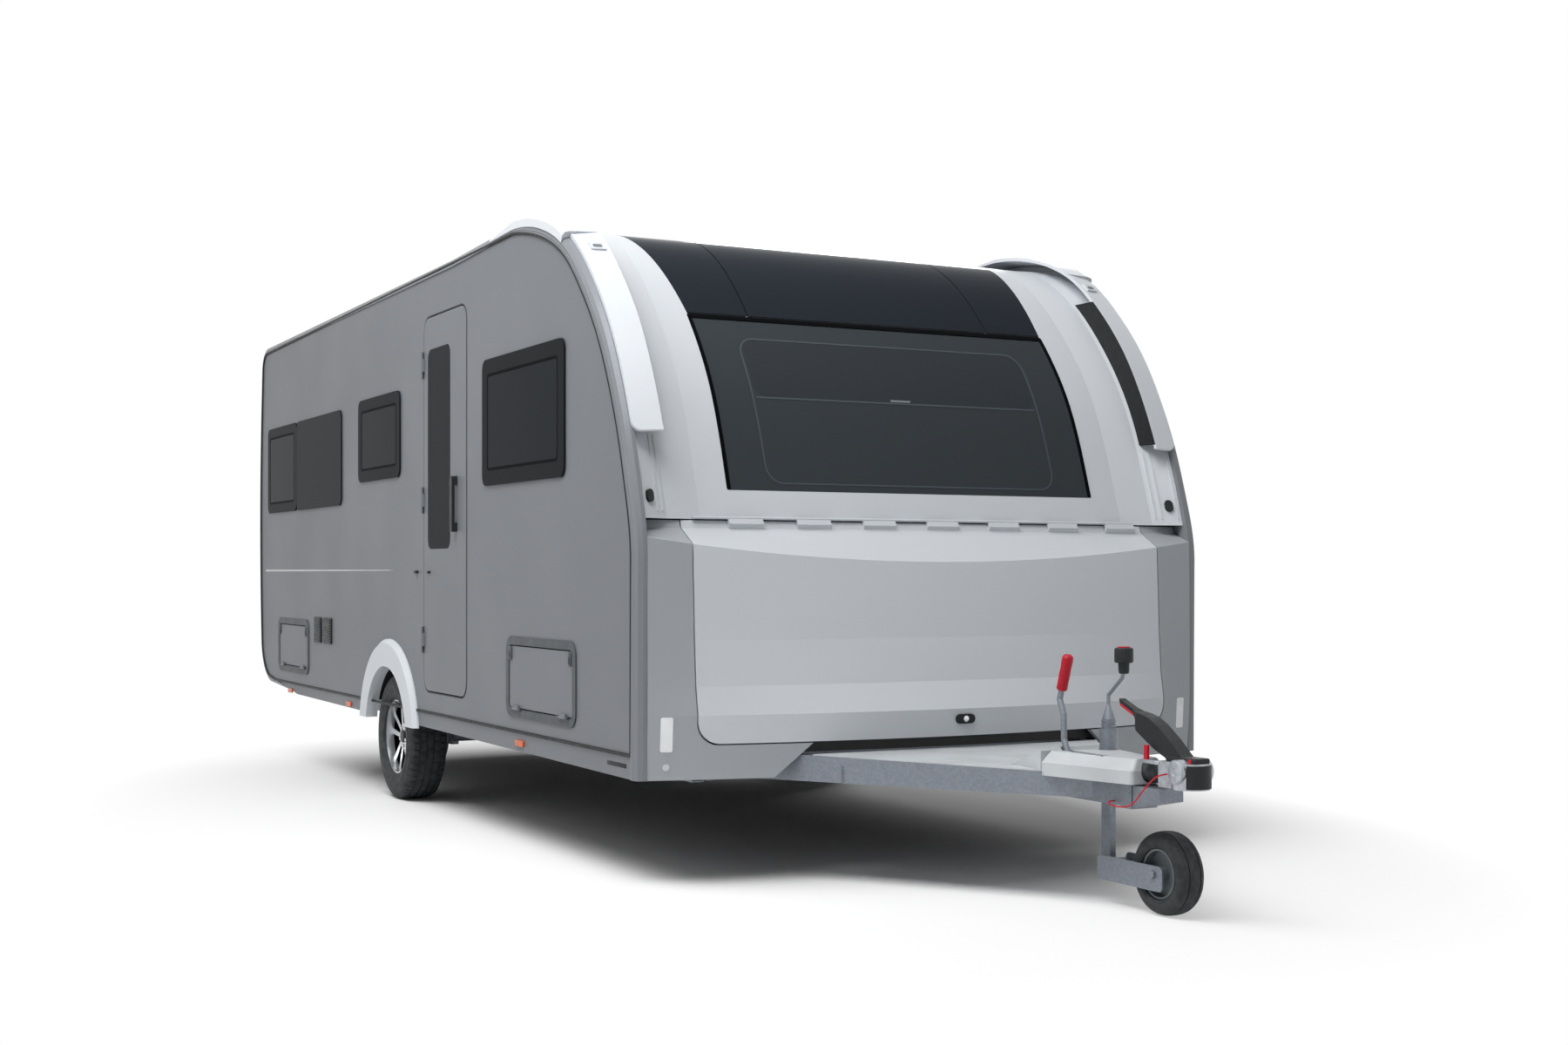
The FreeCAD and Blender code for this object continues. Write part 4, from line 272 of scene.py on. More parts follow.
materials = {
    "wall_grey": paint("wall_grey", (114, 117, 122), 0.42, 0.04),
    "front_silver": paint("front_silver", (204, 208, 213), 0.34, 0.05),
    # The front's silver paint darkened as painted shade, for the nose moulding
    "nose_silver_shaded": paint("nose_silver_shaded", (164, 168, 173), 0.34, 0.05),
    "wing_silver": paint("wing_silver", (214, 218, 223), 0.34, 0.05),
    "trim_grey": paint("trim_grey", (128, 131, 136), 0.36, 0.1),
    "dark_pane": glass("dark_pane", (36, 40, 44), 0.84),
    "front_pane": glass("front_pane", (62, 67, 71), 0.9),
    "skylight_pane": glass("skylight_pane", (38, 43, 50), 0.95),
    "pane_border": pane_print("pane_border", (28, 31, 34), 0.35, 0.00003),
    "pane_slide": pane_print("pane_slide", (40, 43, 46), 0.35, 0.00003),
    "seam_black": pane_print("seam_black", (9, 10, 12), 0.5, 0.00003),
    "pane_upper": pane_print("pane_upper", (54, 58, 62), 0.3, 0.00002),
    "pane_edge": pane_print("pane_edge", (78, 84, 89), 0.3, 0.00002),
    "pane_grip": pane_print("pane_grip", (120, 127, 132), 0.35, 0.00002),
    "blind_grey": blind_cloth("blind_grey", (104, 109, 117)),
    "black_plastic": plastic("black_plastic", (34, 37, 39), 0.45),
    # Black of seals, slots and bolts, also used as painted shade in the gaps beside the wings
    "seal_black": plastic("seal_black", (20, 22, 24), 0.5, 0.00005),
    "frame_grey": plastic("frame_grey", (74, 78, 82), 0.5),
    "light_grey_plastic": plastic("light_grey_plastic", (188, 192, 195), 0.42),
    # Light-grey plastic darkened as painted shade, for the rooflight lids and their ribs
    "roof_plastic_shaded": plastic("roof_plastic_shaded", (112, 115, 120), 0.5),
    "lamp_shell": plastic("lamp_shell", (206, 210, 214), 0.3, 0.00003),
    "galvanised": zinc("galvanised", (128, 134, 143)),
    "cast_silver": cast_metal("cast_silver", (176, 180, 186)),
    "chrome": cast_metal("chrome", (214, 217, 220), 0.16),
    "rubber_black": rubber("rubber_black", (38, 41, 44)),
    "road_tyre": rubber("road_tyre", (36, 39, 42), 0.8),
    "rim_alloy": rim_metal("rim_alloy", (214, 217, 220), (22, 24, 26)),
    "rim_black": plastic("rim_black", (30, 32, 34), 0.3),
    "rim_plastic": plastic("rim_plastic", (112, 118, 121), 0.45),
    "floor_board": boards("floor_board", (28, 28, 28)),
    "amber_lens": lens("amber_lens", (206, 84, 4)),
    "red_lens": lens("red_lens", (168, 20, 22)),
    "white_plate": plastic("white_plate", (222, 225, 226), 0.3),
    "reflector_white": plastic("reflector_white", (238, 240, 242), 0.25, 0.00004),
    "decal_white": plastic("decal_white", (205, 208, 210), 0.4, 0.00002),
    "cable_red": plastic("cable_red", (186, 26, 38), 0.4),
    "grip_red": plastic("grip_red", (178, 20, 42), 0.42),
}

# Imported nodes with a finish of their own
node_finishes = {
    # The nose moulding gets the front's silver darkened as painted shade
    "door_hinges": "wall_grey", "nose_moulding": "nose_silver_shaded",
    "front_window": "front_pane", "skylight_panels": "skylight_pane",
    # The rooflight lids get light-grey plastic darkened as painted shade
    "rooflight_lid_front": "roof_plastic_shaded", "rooflight_lid_rear": "roof_plastic_shaded",
}


def dress_nodes():
    """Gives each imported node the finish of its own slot, or the one in node_finishes; no mesh is changed."""
    for name, piece in nodes.items():
        finish = node_finishes.get(name, piece.data.materials[0].name.split(".")[0])
        piece.data.materials.clear()
        piece.data.materials.append(materials[finish])


# Mesh helpers

WELD_DISTANCE, SMOOTH_ANGLE = 0.00002, 38
RAY_START = 6.0
SKIN_SUNK = 0.001
SMALLEST_RADIUS = 0.002


def add(name, body, finish, points, faces, smooth=False):
    """A closed mesh with its finish, which rides on a body."""
    mesh = bpy.data.meshes.new(name)
    mesh.from_pydata([tuple(p) for p in points], [], faces)
    shape = bmesh.new()
    shape.from_mesh(mesh)
    bmesh.ops.remove_doubles(shape, verts=shape.verts, dist=WELD_DISTANCE)
    bmesh.ops.recalc_face_normals(shape, faces=shape.faces)
    shape.to_mesh(mesh)
    shape.free()
    if smooth:
        mesh.shade_smooth()
        mesh.set_sharp_from_angle(angle=radians(SMOOTH_ANGLE))
    mesh.materials.append(materials[finish])
    piece = bpy.data.objects.new(name, mesh)
    bpy.context.scene.collection.objects.link(piece)
    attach(piece, body)
    return piece


def rounded(area, radius, steps=5):
    """Outline of a rounded rectangle (x0, x1, z0, z1), one point list."""
    x0, x1, z0, z1 = area
    corners = ((x1, z1, -1, -1, 0), (x0, z1, 1, -1, 90), (x0, z0, 1, 1, 180), (x1, z0, -1, 1, 270))
    points = []
    for x, z, to_x, to_z, start in corners:
        for k in range(steps + 1):
            angle = radians(start + 90 * k / steps)
            points.append((x + radius * (to_x + cos(angle)), z + radius * (to_z + sin(angle))))
    return points


def inset(area, by):
    """A rectangle drawn in by the same amount on all sides."""
    x0, x1, z0, z1 = area
    return (x0 + by, x1 - by, z0 + by, z1 - by)


def prism(name, body, finish, low, high, inner_low=None, inner_high=None, smooth=False):
    """A solid between two outlines of equal length, with a hole where inner outlines are given."""
    n = len(low)
    loops = [low, high] + ([inner_high, inner_low] if inner_low else [])
    points = [p for loop in loops for p in loop]
    faces = []
    turns = len(loops) if inner_low else 1
    for k in range(turns):
        a, b = k * n, (k + 1) % len(loops) * n
        faces += [(a + i, a + (i + 1) % n, b + (i + 1) % n, b + i) for i in range(n)]
    if not inner_low:
        faces += [tuple(range(n))[::-1], tuple(range(n, 2 * n))]
    return add(name, body, finish, points, faces, smooth)


def side_plate(name, body, finish, area, radius, face, proud, side, border=0.0, inner_radius=0.0):
    """A thin rounded plate on a side wall, or a frame of the given border."""
    def ring(outline, y):
        return [(x, side * y, z) for x, z in outline]

    outline = rounded(area, radius)
    if not border:
        return prism(name, body, finish, ring(outline, face), ring(outline, face + proud))
    hole = rounded(inset(area, border), inner_radius)
    return prism(name, body, finish, ring(outline, face), ring(outline, face + proud),
                 ring(hole, face), ring(hole, face + proud))


def block(name, body, finish, low, high, bevel):
    """A box with rounded edges."""
    (x0, y0, z0), (x1, y1, z1) = low, high
    shape = bmesh.new()
    corners = [shape.verts.new((x, y, z)) for x in (x0, x1) for y in (y0, y1) for z in (z0, z1)]
    for loop in ((0, 1, 3, 2), (4, 6, 7, 5), (0, 4, 5, 1), (2, 3, 7, 6), (0, 2, 6, 4), (1, 5, 7, 3)):
        shape.faces.new([corners[i] for i in loop])
    bmesh.ops.recalc_face_normals(shape, faces=shape.faces)
    bmesh.ops.bevel(shape, geom=shape.edges[:], offset=bevel, segments=3, profile=0.5, affect="EDGES")
    shape.verts.index_update()
    points = [v.co.copy() for v in shape.verts]
    faces = [[v.index for v in f.verts] for f in shape.faces]
    shape.free()
    return add(name, body, finish, points, faces, True)


def turned_points(start, axis, rows, segments, relief):
    """Rings of points round an axis from rows of (distance along it, radius); relief lowers the radius."""
    axis = Vector(axis).normalized()
    across = axis.orthogonal().normalized()
    up = axis.cross(across)
    points = []
    for row, (along, radius) in enumerate(rows):
        for k in range(segments):
            angle = 2 * pi * k / segments
            reach = radius - (relief(row, k) if relief else 0)
            points.append(Vector(start) + axis * along + (across * cos(angle) + up * sin(angle)) * reach)
    return points


def turned_faces(count, segments, closed):
    """Faces between rings of points; closed joins the last ring to the first, else both ends are capped."""
    spans = count if closed else count - 1
    faces = [(r * segments + k, r * segments + (k + 1) % segments,
              (r + 1) % count * segments + (k + 1) % segments, (r + 1) % count * segments + k)
             for r in range(spans) for k in range(segments)]
    if not closed:
        faces += [tuple(range(segments))[::-1], tuple(range((count - 1) * segments, count * segments))]
    return faces


def lathe(name, body, finish, start, axis, rows, segments, relief=None):
    """A turned piece with flat ends."""
    points = turned_points(start, axis, rows, segments, relief)
    return add(name, body, finish, points, turned_faces(len(rows), segments, False), True)


def ring_lathe(name, body, finish, start, axis, rows, segments, relief=None):
    """A turned ring, whose rows close on themselves."""
    points = turned_points(start, axis, rows, segments, relief)
    return add(name, body, finish, points, turned_faces(len(rows), segments, True), True)


def tube(name, body, finish, path, radius, sides=8, closed=False):
    """A round bar along points."""
    path = [Vector(p) for p in path]
    points = []
    count = len(path)
    up = Vector((0, 1, 0)) if abs((path[1] - path[0]).normalized().y) < 0.9 else Vector((0, 0, 1))
    for i, p in enumerate(path):
        before = path[(i - 1) % count] if closed or i else p
        after = path[(i + 1) % count] if closed or i < count - 1 else p
        ahead = (after - before).normalized()
        across = ahead.cross(up).normalized()
        rise = across.cross(ahead)
        for k in range(sides):
            angle = 2 * pi * k / sides
            points.append(p + (across * cos(angle) + rise * sin(angle)) * radius)
    return add(name, body, finish, points, turned_faces(count, sides, closed), True)


def caster(*names):
    """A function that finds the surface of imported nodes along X, seen from the front or the back."""
    points, faces = [], []
    for name in names:
        mesh = nodes[name].data
        first = len(points)
        points += [v.co.copy() for v in mesh.vertices]
        faces += [[first + i for i in p.vertices] for p in mesh.polygons]
    tree = BVHTree.FromPolygons(points, faces)

    def find(y, z, way=-1):
        place, normal, _, _ = tree.ray_cast(Vector((-RAY_START * way, y, z)), Vector((way, 0, 0)))
        if place is not None and normal.x * way > 0:
            normal = -normal
        return place, normal
    return find


def draped(name, body, finish, find, rows, proud, way=-1):
    """A thin skin that follows a surface, from rows of (y, z) points."""
    top, bottom = [], []
    width = len(rows[0])
    for row in rows:
        for y, z in row:
            place, normal = find(y, z, way)
            top.append(place + normal * proud)
            bottom.append(place - normal * SKIN_SUNK)
    total = len(top)
    faces = []
    for r in range(len(rows) - 1):
        for c in range(width - 1):
            a = r * width + c
            quad = (a, a + 1, a + width + 1, a + width)
            faces += [quad, tuple(total + i for i in quad[::-1])]
    rim = list(range(width)) + [r * width + width - 1 for r in range(1, len(rows))]
    rim += [(len(rows) - 1) * width + c for c in range(width - 2, -1, -1)]
    rim += [r * width for r in range(len(rows) - 2, 0, -1)]
    for i, a in enumerate(rim):
        b = rim[(i + 1) % len(rim)]
        faces.append((a, total + a, total + b, b))
    return add(name, body, finish, top + bottom, faces, True)


def patch_rows(y0, y1, z0, z1, radius, rows, columns):
    """Rows of (y, z) that fill a rounded rectangle; a radius of half the height makes an oval."""
    result = []
    for r in range(rows + 1):
        z = z0 + (z1 - z0) * (1 - cos(pi * r / rows)) / 2
        edge = min(z - z0, z1 - z)
        cut = 0.0
        if edge < radius:
            cut = (radius - (max(radius ** 2 - (radius - edge) ** 2, 0.0)) ** 0.5) * 0.98
        result.append([(y0 + cut + (y1 - y0 - 2 * cut) * c / columns, z) for c in range(columns + 1)])
    return result


def patch(find, row, side=1, tag="", body="root", way=-1):
    """A thin skin from a row of a table: name, finish, nearest and furthest y, lowest and highest z,
    corner, rows, columns and height."""
    name, finish, near, far, z0, z1, radius, rows, columns, proud = row
    y0, y1 = sorted((side * near, side * far))
    places = patch_rows(y0, y1, z0, z1, radius, rows, columns)
    draped(name.format(tag), body, finish, find, places, proud, way)


def draped_ring(name, body, finish, find, outline, border, proud, steps=8, way=-1):
    """A thin frame that follows a surface; outline holds (y0, y1, z0, z1, radius)."""
    *area, radius = outline

    def loops(points):
        found = [find(y, z, way) for y, z in points]
        return [p - n * SKIN_SUNK for p, n in found], [p + n * proud for p, n in found]

    def dense(points):
        result = []
        for i, a in enumerate(points):
            b = points[(i + 1) % len(points)]
            result += [(a[0] + (b[0] - a[0]) * k / steps, a[1] + (b[1] - a[1]) * k / steps)
                       for k in range(steps)]
        return result

    low, high = loops(dense(rounded(area, radius)))
    inner_low, inner_high = loops(dense(rounded(inset(area, border), max(radius - border, SMALLEST_RADIUS))))
    return prism(name, body, finish, low, high, inner_low, inner_high, True)


def hull(points):
    """Outer outline of points in a plane."""
    points = sorted(set(points))
    chains = []
    for run in (points, points[::-1]):
        chain = []
        for p in run:
            while len(chain) > 1 and ((chain[-1][0] - chain[-2][0]) * (p[1] - chain[-2][1])
                                      - (chain[-1][1] - chain[-2][1]) * (p[0] - chain[-2][0])) <= 0:
                chain.pop()
            chain.append(p)
        chains += chain[:-1]
    return chains


# Side walls: window frames, seals, catches, latches, stripe and vents

WALL_FACE = 1.230
PANE_FACE = 1.238
PANE_RADIUS, PANE_INNER_RADIUS = 0.044, 0.02
FRONT_PANE = (0.5341, 1.4747, 1.4610, 1.9891)
MIDDLE_PANE = (-1.3960, -0.6688, 1.5550, 1.9691)
REAR_PANE = (-3.4092, -2.7016, 1.4519, 1.9550)
SLIDING_PANE = (-2.6986, -1.7339, 1.4519, 1.9550)
KITCHEN_PANE = (-0.5200, 0.3800, 1.4610, 1.9890)
# Name, area, side and border of each hinged pane
FRAMED_PANES = (
    ("front", FRONT_PANE, -1, 0.062), ("middle", MIDDLE_PANE, -1, 0.055), ("rear", REAR_PANE, -1, 0.052),
    ("kitchen", KITCHEN_PANE, 1, 0.062), ("left_front", FRONT_PANE, 1, 0.062),
    ("left_rear", REAR_PANE, 1, 0.052),
)
FRAME_HEIGHT, LINE_HEIGHT, LINE_WIDTH, SLIDING_HEIGHT = 0.0008, 0.0005, 0.012, 0.0006
FACE_MARGIN = 0.0005
WALL_SEAL_Y, WALL_SEAL_RADIUS = 1.2320, 0.0068
STRIPE = ((-3.50, 1.1035), (-0.90, 1.1080), (-0.78, 1.1095), (-0.90, 1.1110), (-3.50, 1.1150))
STRIPE_HEIGHT = 0.0004
SKIRT_SLOT, SLOT_BEVEL = ((1.880, 1.226, 0.412), (2.055, 1.2312, 0.428)), 0.0016
DOOR_SEAL = (-0.3062, 0.3140, 0.5500, 2.2680)
DOOR_SEAL_RADIUS, DOOR_SEAL_INNER_RADIUS, DOOR_SEAL_WIDTH, DOOR_SEAL_HEIGHT = 0.075, 0.070, 0.0050, 0.0011
# Name, body and two corners of each half of the door's catch
CATCHES = (
    ("catch_wall", "root", (-0.428, 1.228, 1.094), (-0.392, 1.244, 1.108)),
    ("catch_door", "entrance_door", (-0.226, 1.230, 1.094), (-0.204, 1.243, 1.106)),
)
CATCH_BEVEL = 0.003
# Name, side, rear end, front end and top of each hatch lid
HATCHES = (("front", -1, 0.862, 1.547, 0.803), ("rear", -1, -3.119, -2.477, 0.794),
           ("left", 1, -2.211, -1.909, 0.901))
LATCH_WIDTH, LATCH_INSET, LATCH_BEVEL = 0.028, 0.003, 0.004
LATCH_BACK, LATCH_FACE, KEY_BACK, KEY_FACE = 1.231, 1.2395, 1.237, 1.2408
# Foot and head of a latch and of its key slot below the lid's top, and the slot's two sides
LATCH_FOOT, LATCH_HEAD, KEY_FOOT, KEY_HEAD = 0.056, 0.002, 0.048, 0.024
KEY_START, KEY_END, KEY_BEVEL = 0.009, 0.019, 0.0015
# Rear and front end of each vent in the right wall
VENTS = ((-2.2987, -2.1568), (-2.0998, -1.9399))
LOUVRE_ROWS, LOUVRE_FOOT, LOUVRE_STEP, LOUVRE_HEIGHT = 9, 0.722, 0.0142, 0.0085
LOUVRE_INSET, LOUVRE_BACK, LOUVRE_FACE, LOUVRE_BEVEL = 0.009, 1.237, 1.2425, 0.0018


def side_block(name, body, finish, side, low, high, bevel):
    """A block on a side wall, given with its distances from the middle plane."""
    (x0, y0, z0), (x1, y1, z1) = low, high
    near, far = sorted((side * y0, side * y1))
    return block(name, body, finish, (x0, near, z0), (x1, far, z1), bevel)


def window_frames():
    """The printed border of each hinged pane, and the line inside it."""
    for name, area, side, border in FRAMED_PANES:
        side_plate("pane_frame_" + name, "root", "pane_border", area, PANE_RADIUS, PANE_FACE, FRAME_HEIGHT,
                   side, border, PANE_INNER_RADIUS)
        side_plate("pane_line_" + name, "root", "seam_black", inset(area, border), PANE_INNER_RADIUS,
                   PANE_FACE, LINE_HEIGHT, side, LINE_WIDTH, LINE_WIDTH)


def wall_dress(side, tag):
    """The sliding pane, the seal round the wall, the stripe and the slot in the skirt."""
    side_plate("pane_sliding_" + tag, "root", "pane_slide", SLIDING_PANE, PANE_RADIUS, PANE_FACE,
               SLIDING_HEIGHT, side)
    wall = nodes["side_wall_" + tag].data
    edge = hull([(round(v.co.x, 4), round(v.co.z, 4)) for v in wall.vertices
                 if side * v.co.y > WALL_FACE - FACE_MARGIN])
    tube("wall_seal_" + tag, "root", "seal_black", [(x, side * WALL_SEAL_Y, z) for x, z in edge],
         WALL_SEAL_RADIUS, closed=True)
    prism("stripe_" + tag, "root", "decal_white", [(x, side * WALL_FACE, z) for x, z in STRIPE],
          [(x, side * (WALL_FACE + STRIPE_HEIGHT), z) for x, z in STRIPE])
    side_block("skirt_slot_" + tag, "root", "seal_black", side, *SKIRT_SLOT, SLOT_BEVEL)


def hatch_latches():
    """Two latches at the top of each hatch lid, each with its key slot."""
    for name, side, x0, x1, top in HATCHES:
        for k, x in enumerate((x0 + LATCH_INSET, x1 - LATCH_INSET - LATCH_WIDTH)):
            side_block(f"latch_{name}_{k}", "hatch_lid_" + name, "frame_grey", side,
                       (x, LATCH_BACK, top - LATCH_FOOT), (x + LATCH_WIDTH, LATCH_FACE, top - LATCH_HEAD),
                       LATCH_BEVEL)
            side_block(f"latch_key_{name}_{k}", "hatch_lid_" + name, "seal_black", side,
                       (x + KEY_START, KEY_BACK, top - KEY_FOOT), (x + KEY_END, KEY_FACE, top - KEY_HEAD),
                       KEY_BEVEL)


def door_dress():
    """The seal round the door and the two halves of its catch."""
    side_plate("door_seal", "root", "seal_black", DOOR_SEAL, DOOR_SEAL_RADIUS, WALL_FACE - FACE_MARGIN,
               DOOR_SEAL_HEIGHT, -1, DOOR_SEAL_WIDTH, DOOR_SEAL_INNER_RADIUS)
    for name, body, low, high in CATCHES:
        side_block(name, body, "black_plastic", -1, low, high, CATCH_BEVEL)


def louvres():
    """Slats over the vents in the right wall."""
    for k, (x0, x1) in enumerate(VENTS):
        for row in range(LOUVRE_ROWS):
            z = LOUVRE_FOOT + row * LOUVRE_STEP
            side_block(f"louvre_{k}_{row}", "root", "black_plastic", -1,
                       (x0 + LOUVRE_INSET, LOUVRE_BACK, z),
                       (x1 - LOUVRE_INSET, LOUVRE_FACE, z + LOUVRE_HEIGHT), LOUVRE_BEVEL)


def side_details():
    """All that is added to the side walls."""
    window_frames()
    for side, tag in SIDES:
        wall_dress(side, tag)
    door_dress()
    hatch_latches()
    louvres()


# Front: window frame, seals, lamps, reflectors and lock

WINDOW_HALF, BLIND_HALF = 0.811, 0.632
WINDOW_FRAME, WINDOW_FRAME_WIDTH, WINDOW_FRAME_HEIGHT = (-0.647, 0.647, 1.425, 1.992, 0.07), 0.006, 0.0012
WINDOW_BLIND = ("window_blind", "pane_upper", -BLIND_HALF, BLIND_HALF, 1.757, 1.984, 0.055, 14, 40, 0.0006)
WINDOW_PATCHES = (
    ("blind_edge", "pane_edge", -BLIND_HALF, BLIND_HALF, 1.750, 1.757, 0.002, 3, 40, 0.0014),
    ("blind_grip", "pane_grip", -0.045, 0.045, 1.759, 1.767, 0.003, 4, 8, 0.003),
    ("window_head_seal", "seam_black", -WINDOW_HALF, WINDOW_HALF, 2.064, 2.080, 0.002, 4, 60, 0.0035),
)
WINDOW_EDGE = ("window_edge_{}", "seam_black", 0.800, 0.8155, 1.402, 2.078, 0.002, 44, 2, 0.0022)
WING_PATCHES = (
    ("wing_lamp_{}", "lamp_shell", 1.112, 1.170, 2.306, 2.340, 0.006, 8, 8, 0.007),
    ("wing_lens_{}", "pane_grip", 1.124, 1.158, 2.314, 2.326, 0.005, 6, 6, 0.0085),
)
POST_PATCHES = (
    ("post_bolt_{}", "seal_black", 1.140, 1.170, 1.346, 1.392, 0.0148, 10, 8, 0.010),
    ("post_rib_{}_0", "front_silver", 1.094, 1.100, 1.315, 1.592, 0.002, 16, 3, 0.004),
    ("post_rib_{}_1", "front_silver", 1.118, 1.124, 1.315, 1.592, 0.002, 16, 3, 0.004),
    ("post_rib_{}_2", "front_silver", 1.180, 1.186, 1.315, 1.592, 0.002, 16, 3, 0.004),
)
NOSE_PATCHES = (
    ("reflector_{}", "reflector_white", 1.110, 1.152, 0.475, 0.596, 0.004, 8, 5, 0.0025),
    ("nose_cap_{}", "front_silver", 1.119, 1.143, 0.410, 0.434, 0.012, 8, 8, 0.003),
)
# The place of the strip of painted shade between the shell's last and the wing's first line, and how far it
# goes behind them
WING_SHADE_Y, WING_SHADE_HALF, SHELL_LINE_Y, WING_LINE_Y = 1.0955, 0.001, 1.086, 1.100
WING_SHADE_STEPS, WING_SHADE_FOOT, WING_SHADE_STEP = 34, 1.600, 0.0198
BEHIND_SHELL, BEHIND_WING = 0.002, 0.001
LOCK_PLATE = ("lock_plate", "seal_black", -0.041, 0.041, 0.545, 0.580, 0.0175, 10, 14, 0.008)
LOCK_Z, LOCK_STANDOFF = 0.5625, 0.004
LOCK_ROWS = ((0, 0.011), (0.007, 0.011), (0.0085, 0.009), (0.0086, 0.002), (0.0070, 0.002))


def window_details():
    """The front window's inner frame and blind, and the seam over its upper edge."""
    pane = caster("front_window")
    patch(pane, WINDOW_BLIND)
    draped_ring("window_frame", "root", "pane_edge", pane, WINDOW_FRAME, WINDOW_FRAME_WIDTH,
                WINDOW_FRAME_HEIGHT)
    for row in WINDOW_PATCHES:
        patch(pane, row)


def wing_seal(side, tag, shell, wings):
    """A black strip of painted shade that closes the gap between the shell and a wing, where the wing's inner
    side lies in shade.
    """
    strip = []
    for k in range(WING_SHADE_STEPS):
        z = WING_SHADE_FOOT + k * WING_SHADE_STEP
        outer, _ = wings(side * WING_LINE_Y, z)
        inner, _ = shell(side * SHELL_LINE_Y, z)
        if outer is not None and inner is not None and outer.x > inner.x:
            strip.append((inner.x - BEHIND_SHELL, outer.x - BEHIND_WING, z))
    far, near = side * (WING_SHADE_Y + WING_SHADE_HALF), side * (WING_SHADE_Y - WING_SHADE_HALF)
    points, faces = [], []
    for low_x, high_x, z in strip:
        points += [(low_x, far, z), (high_x, far, z), (high_x, near, z), (low_x, near, z)]
    last = 4 * len(strip) - 4
    for a in range(0, last, 4):
        faces += [(a + i, a + (i + 1) % 4, a + 4 + (i + 1) % 4, a + 4 + i) for i in range(4)]
    faces += [(0, 1, 2, 3), (last + 3, last + 2, last + 1, last)]
    # The strip is black as painted shade for the wing's shaded inner side
    add("wing_seal_" + tag, "root", "seal_black", points, faces)


def lid_lock():
    """The lock in the middle of the locker lid's foot."""
    lid = caster("locker_lid")
    patch(lid, LOCK_PLATE, body="locker_lid")
    face, _ = lid(0.0, LOCK_Z)
    lathe("lock_barrel", "locker_lid", "chrome", (face.x + LOCK_STANDOFF, 0, LOCK_Z), (1, 0, 0),
          LOCK_ROWS, 24)


def front_details():
    """All that is added to the front."""
    window_details()
    surround = caster("front_window", "front_shell")
    shell = caster("front_shell")
    wings = caster("front_wings")
    nose = caster("nose_moulding", "front_shell")
    for side, tag in SIDES:
        patch(surround, WINDOW_EDGE, side, tag)
        # A strip of painted shade in each gap between shell and wing
        wing_seal(side, tag, shell, wings)
        for surface, rows in ((wings, WING_PATCHES), (shell, POST_PATCHES), (nose, NOSE_PATCHES)):
            for row in rows:
                patch(surface, row, side, tag)
    lid_lock()


# Running gear: tyres, hub caps and wheel bolts

AXLE_X, AXLE_Z = -0.8497, 0.302
WHEEL_Y, RIM_CENTRE_Y = 1.1225, 1.1625
# Distance along the axle and radius of half of the tyre's outline, from its inner edge to the middle
TYRE_ROWS = ((-0.074, 0.1800), (-0.0850, 0.1870), (-0.0900, 0.2030), (-0.0925, 0.2280), (-0.0921, 0.2340),
             (-0.0912, 0.2352), (-0.0912, 0.2500), (-0.0890, 0.2700), (-0.0840, 0.2850), (-0.0770, 0.2945),
             (-0.0700, 0.2982), (-0.0530, 0.3000), (-0.0525, 0.3000), (-0.0450, 0.3006), (-0.0445, 0.3006),
             (-0.0200, 0.3016), (-0.0195, 0.3016), (-0.0130, 0.3018), (-0.0125, 0.3018))
TREAD_DEPTH, TREAD_SEGMENTS = 0.0075, 216
# Rows of that outline that lie in the grooves, the shoulder, the ribs and the middle rib
GROOVE_ROWS, SHOULDER_ROWS, RIB_ROWS, MIDDLE_ROW = (12, 13, 16, 17), (8, 9, 10, 11), (14, 15), 18
HUB_ROWS = ((-0.004, 0.031), (0.006, 0.031), (0.0095, 0.028), (0.011, 0.020), (0.0112, 0.002))
BOLT_COUNT, BOLT_CIRCLE, BOLT_START, HEXAGON = 5, 0.047, 126, 6
BOLT_ROWS = ((-0.003, 0.0095), (0.006, 0.0095), (0.009, 0.007), (0.0092, 0.001))
SMALL_WHEEL, SMALL_WHEEL_RADIUS, SMALL_NUT_Y = (3.385, 0.086, 0.135), 0.1350, 0.061
SMALL_NUT_ROWS = ((0, 0.014), (0.009, 0.014), (0.011, 0.012), (0.0112, 0.001))
SMALL_TYRE_ROWS = ((-0.038, 0.0805), (-0.0455, 0.0840), (-0.0485, 0.0900), (-0.0470, 0.0930),
                   (-0.0495, 0.0965), (-0.0497, 0.1060), (-0.0470, 0.1170), (-0.0400, 0.1260),
                   (-0.0310, 0.1310), (-0.0240, 0.1328), (-0.0235, 0.1300), (-0.0205, 0.1300),
                   (-0.0200, 0.1338), (-0.0100, 0.1348))


def tread(row, k):
    """Depth of the tread pattern at a row and step round the tyre."""
    row = min(row, 2 * len(TYRE_ROWS) - 1 - row)
    if row in GROOVE_ROWS:
        return TREAD_DEPTH
    if row in SHOULDER_ROWS and k % 4 == 0:
        return TREAD_DEPTH * (0.5 if row == SHOULDER_ROWS[0] else 1.0)
    if row in RIB_ROWS and k % 6 == 3:
        return TREAD_DEPTH * 0.8
    if row == MIDDLE_ROW and k % 9 == 5:
        return TREAD_DEPTH * 0.6
    return 0.0


def mirrored(rows):
    """The same rows on the other half of a wheel, from its middle outward."""
    return [(-along, radius) for along, radius in rows[::-1]]


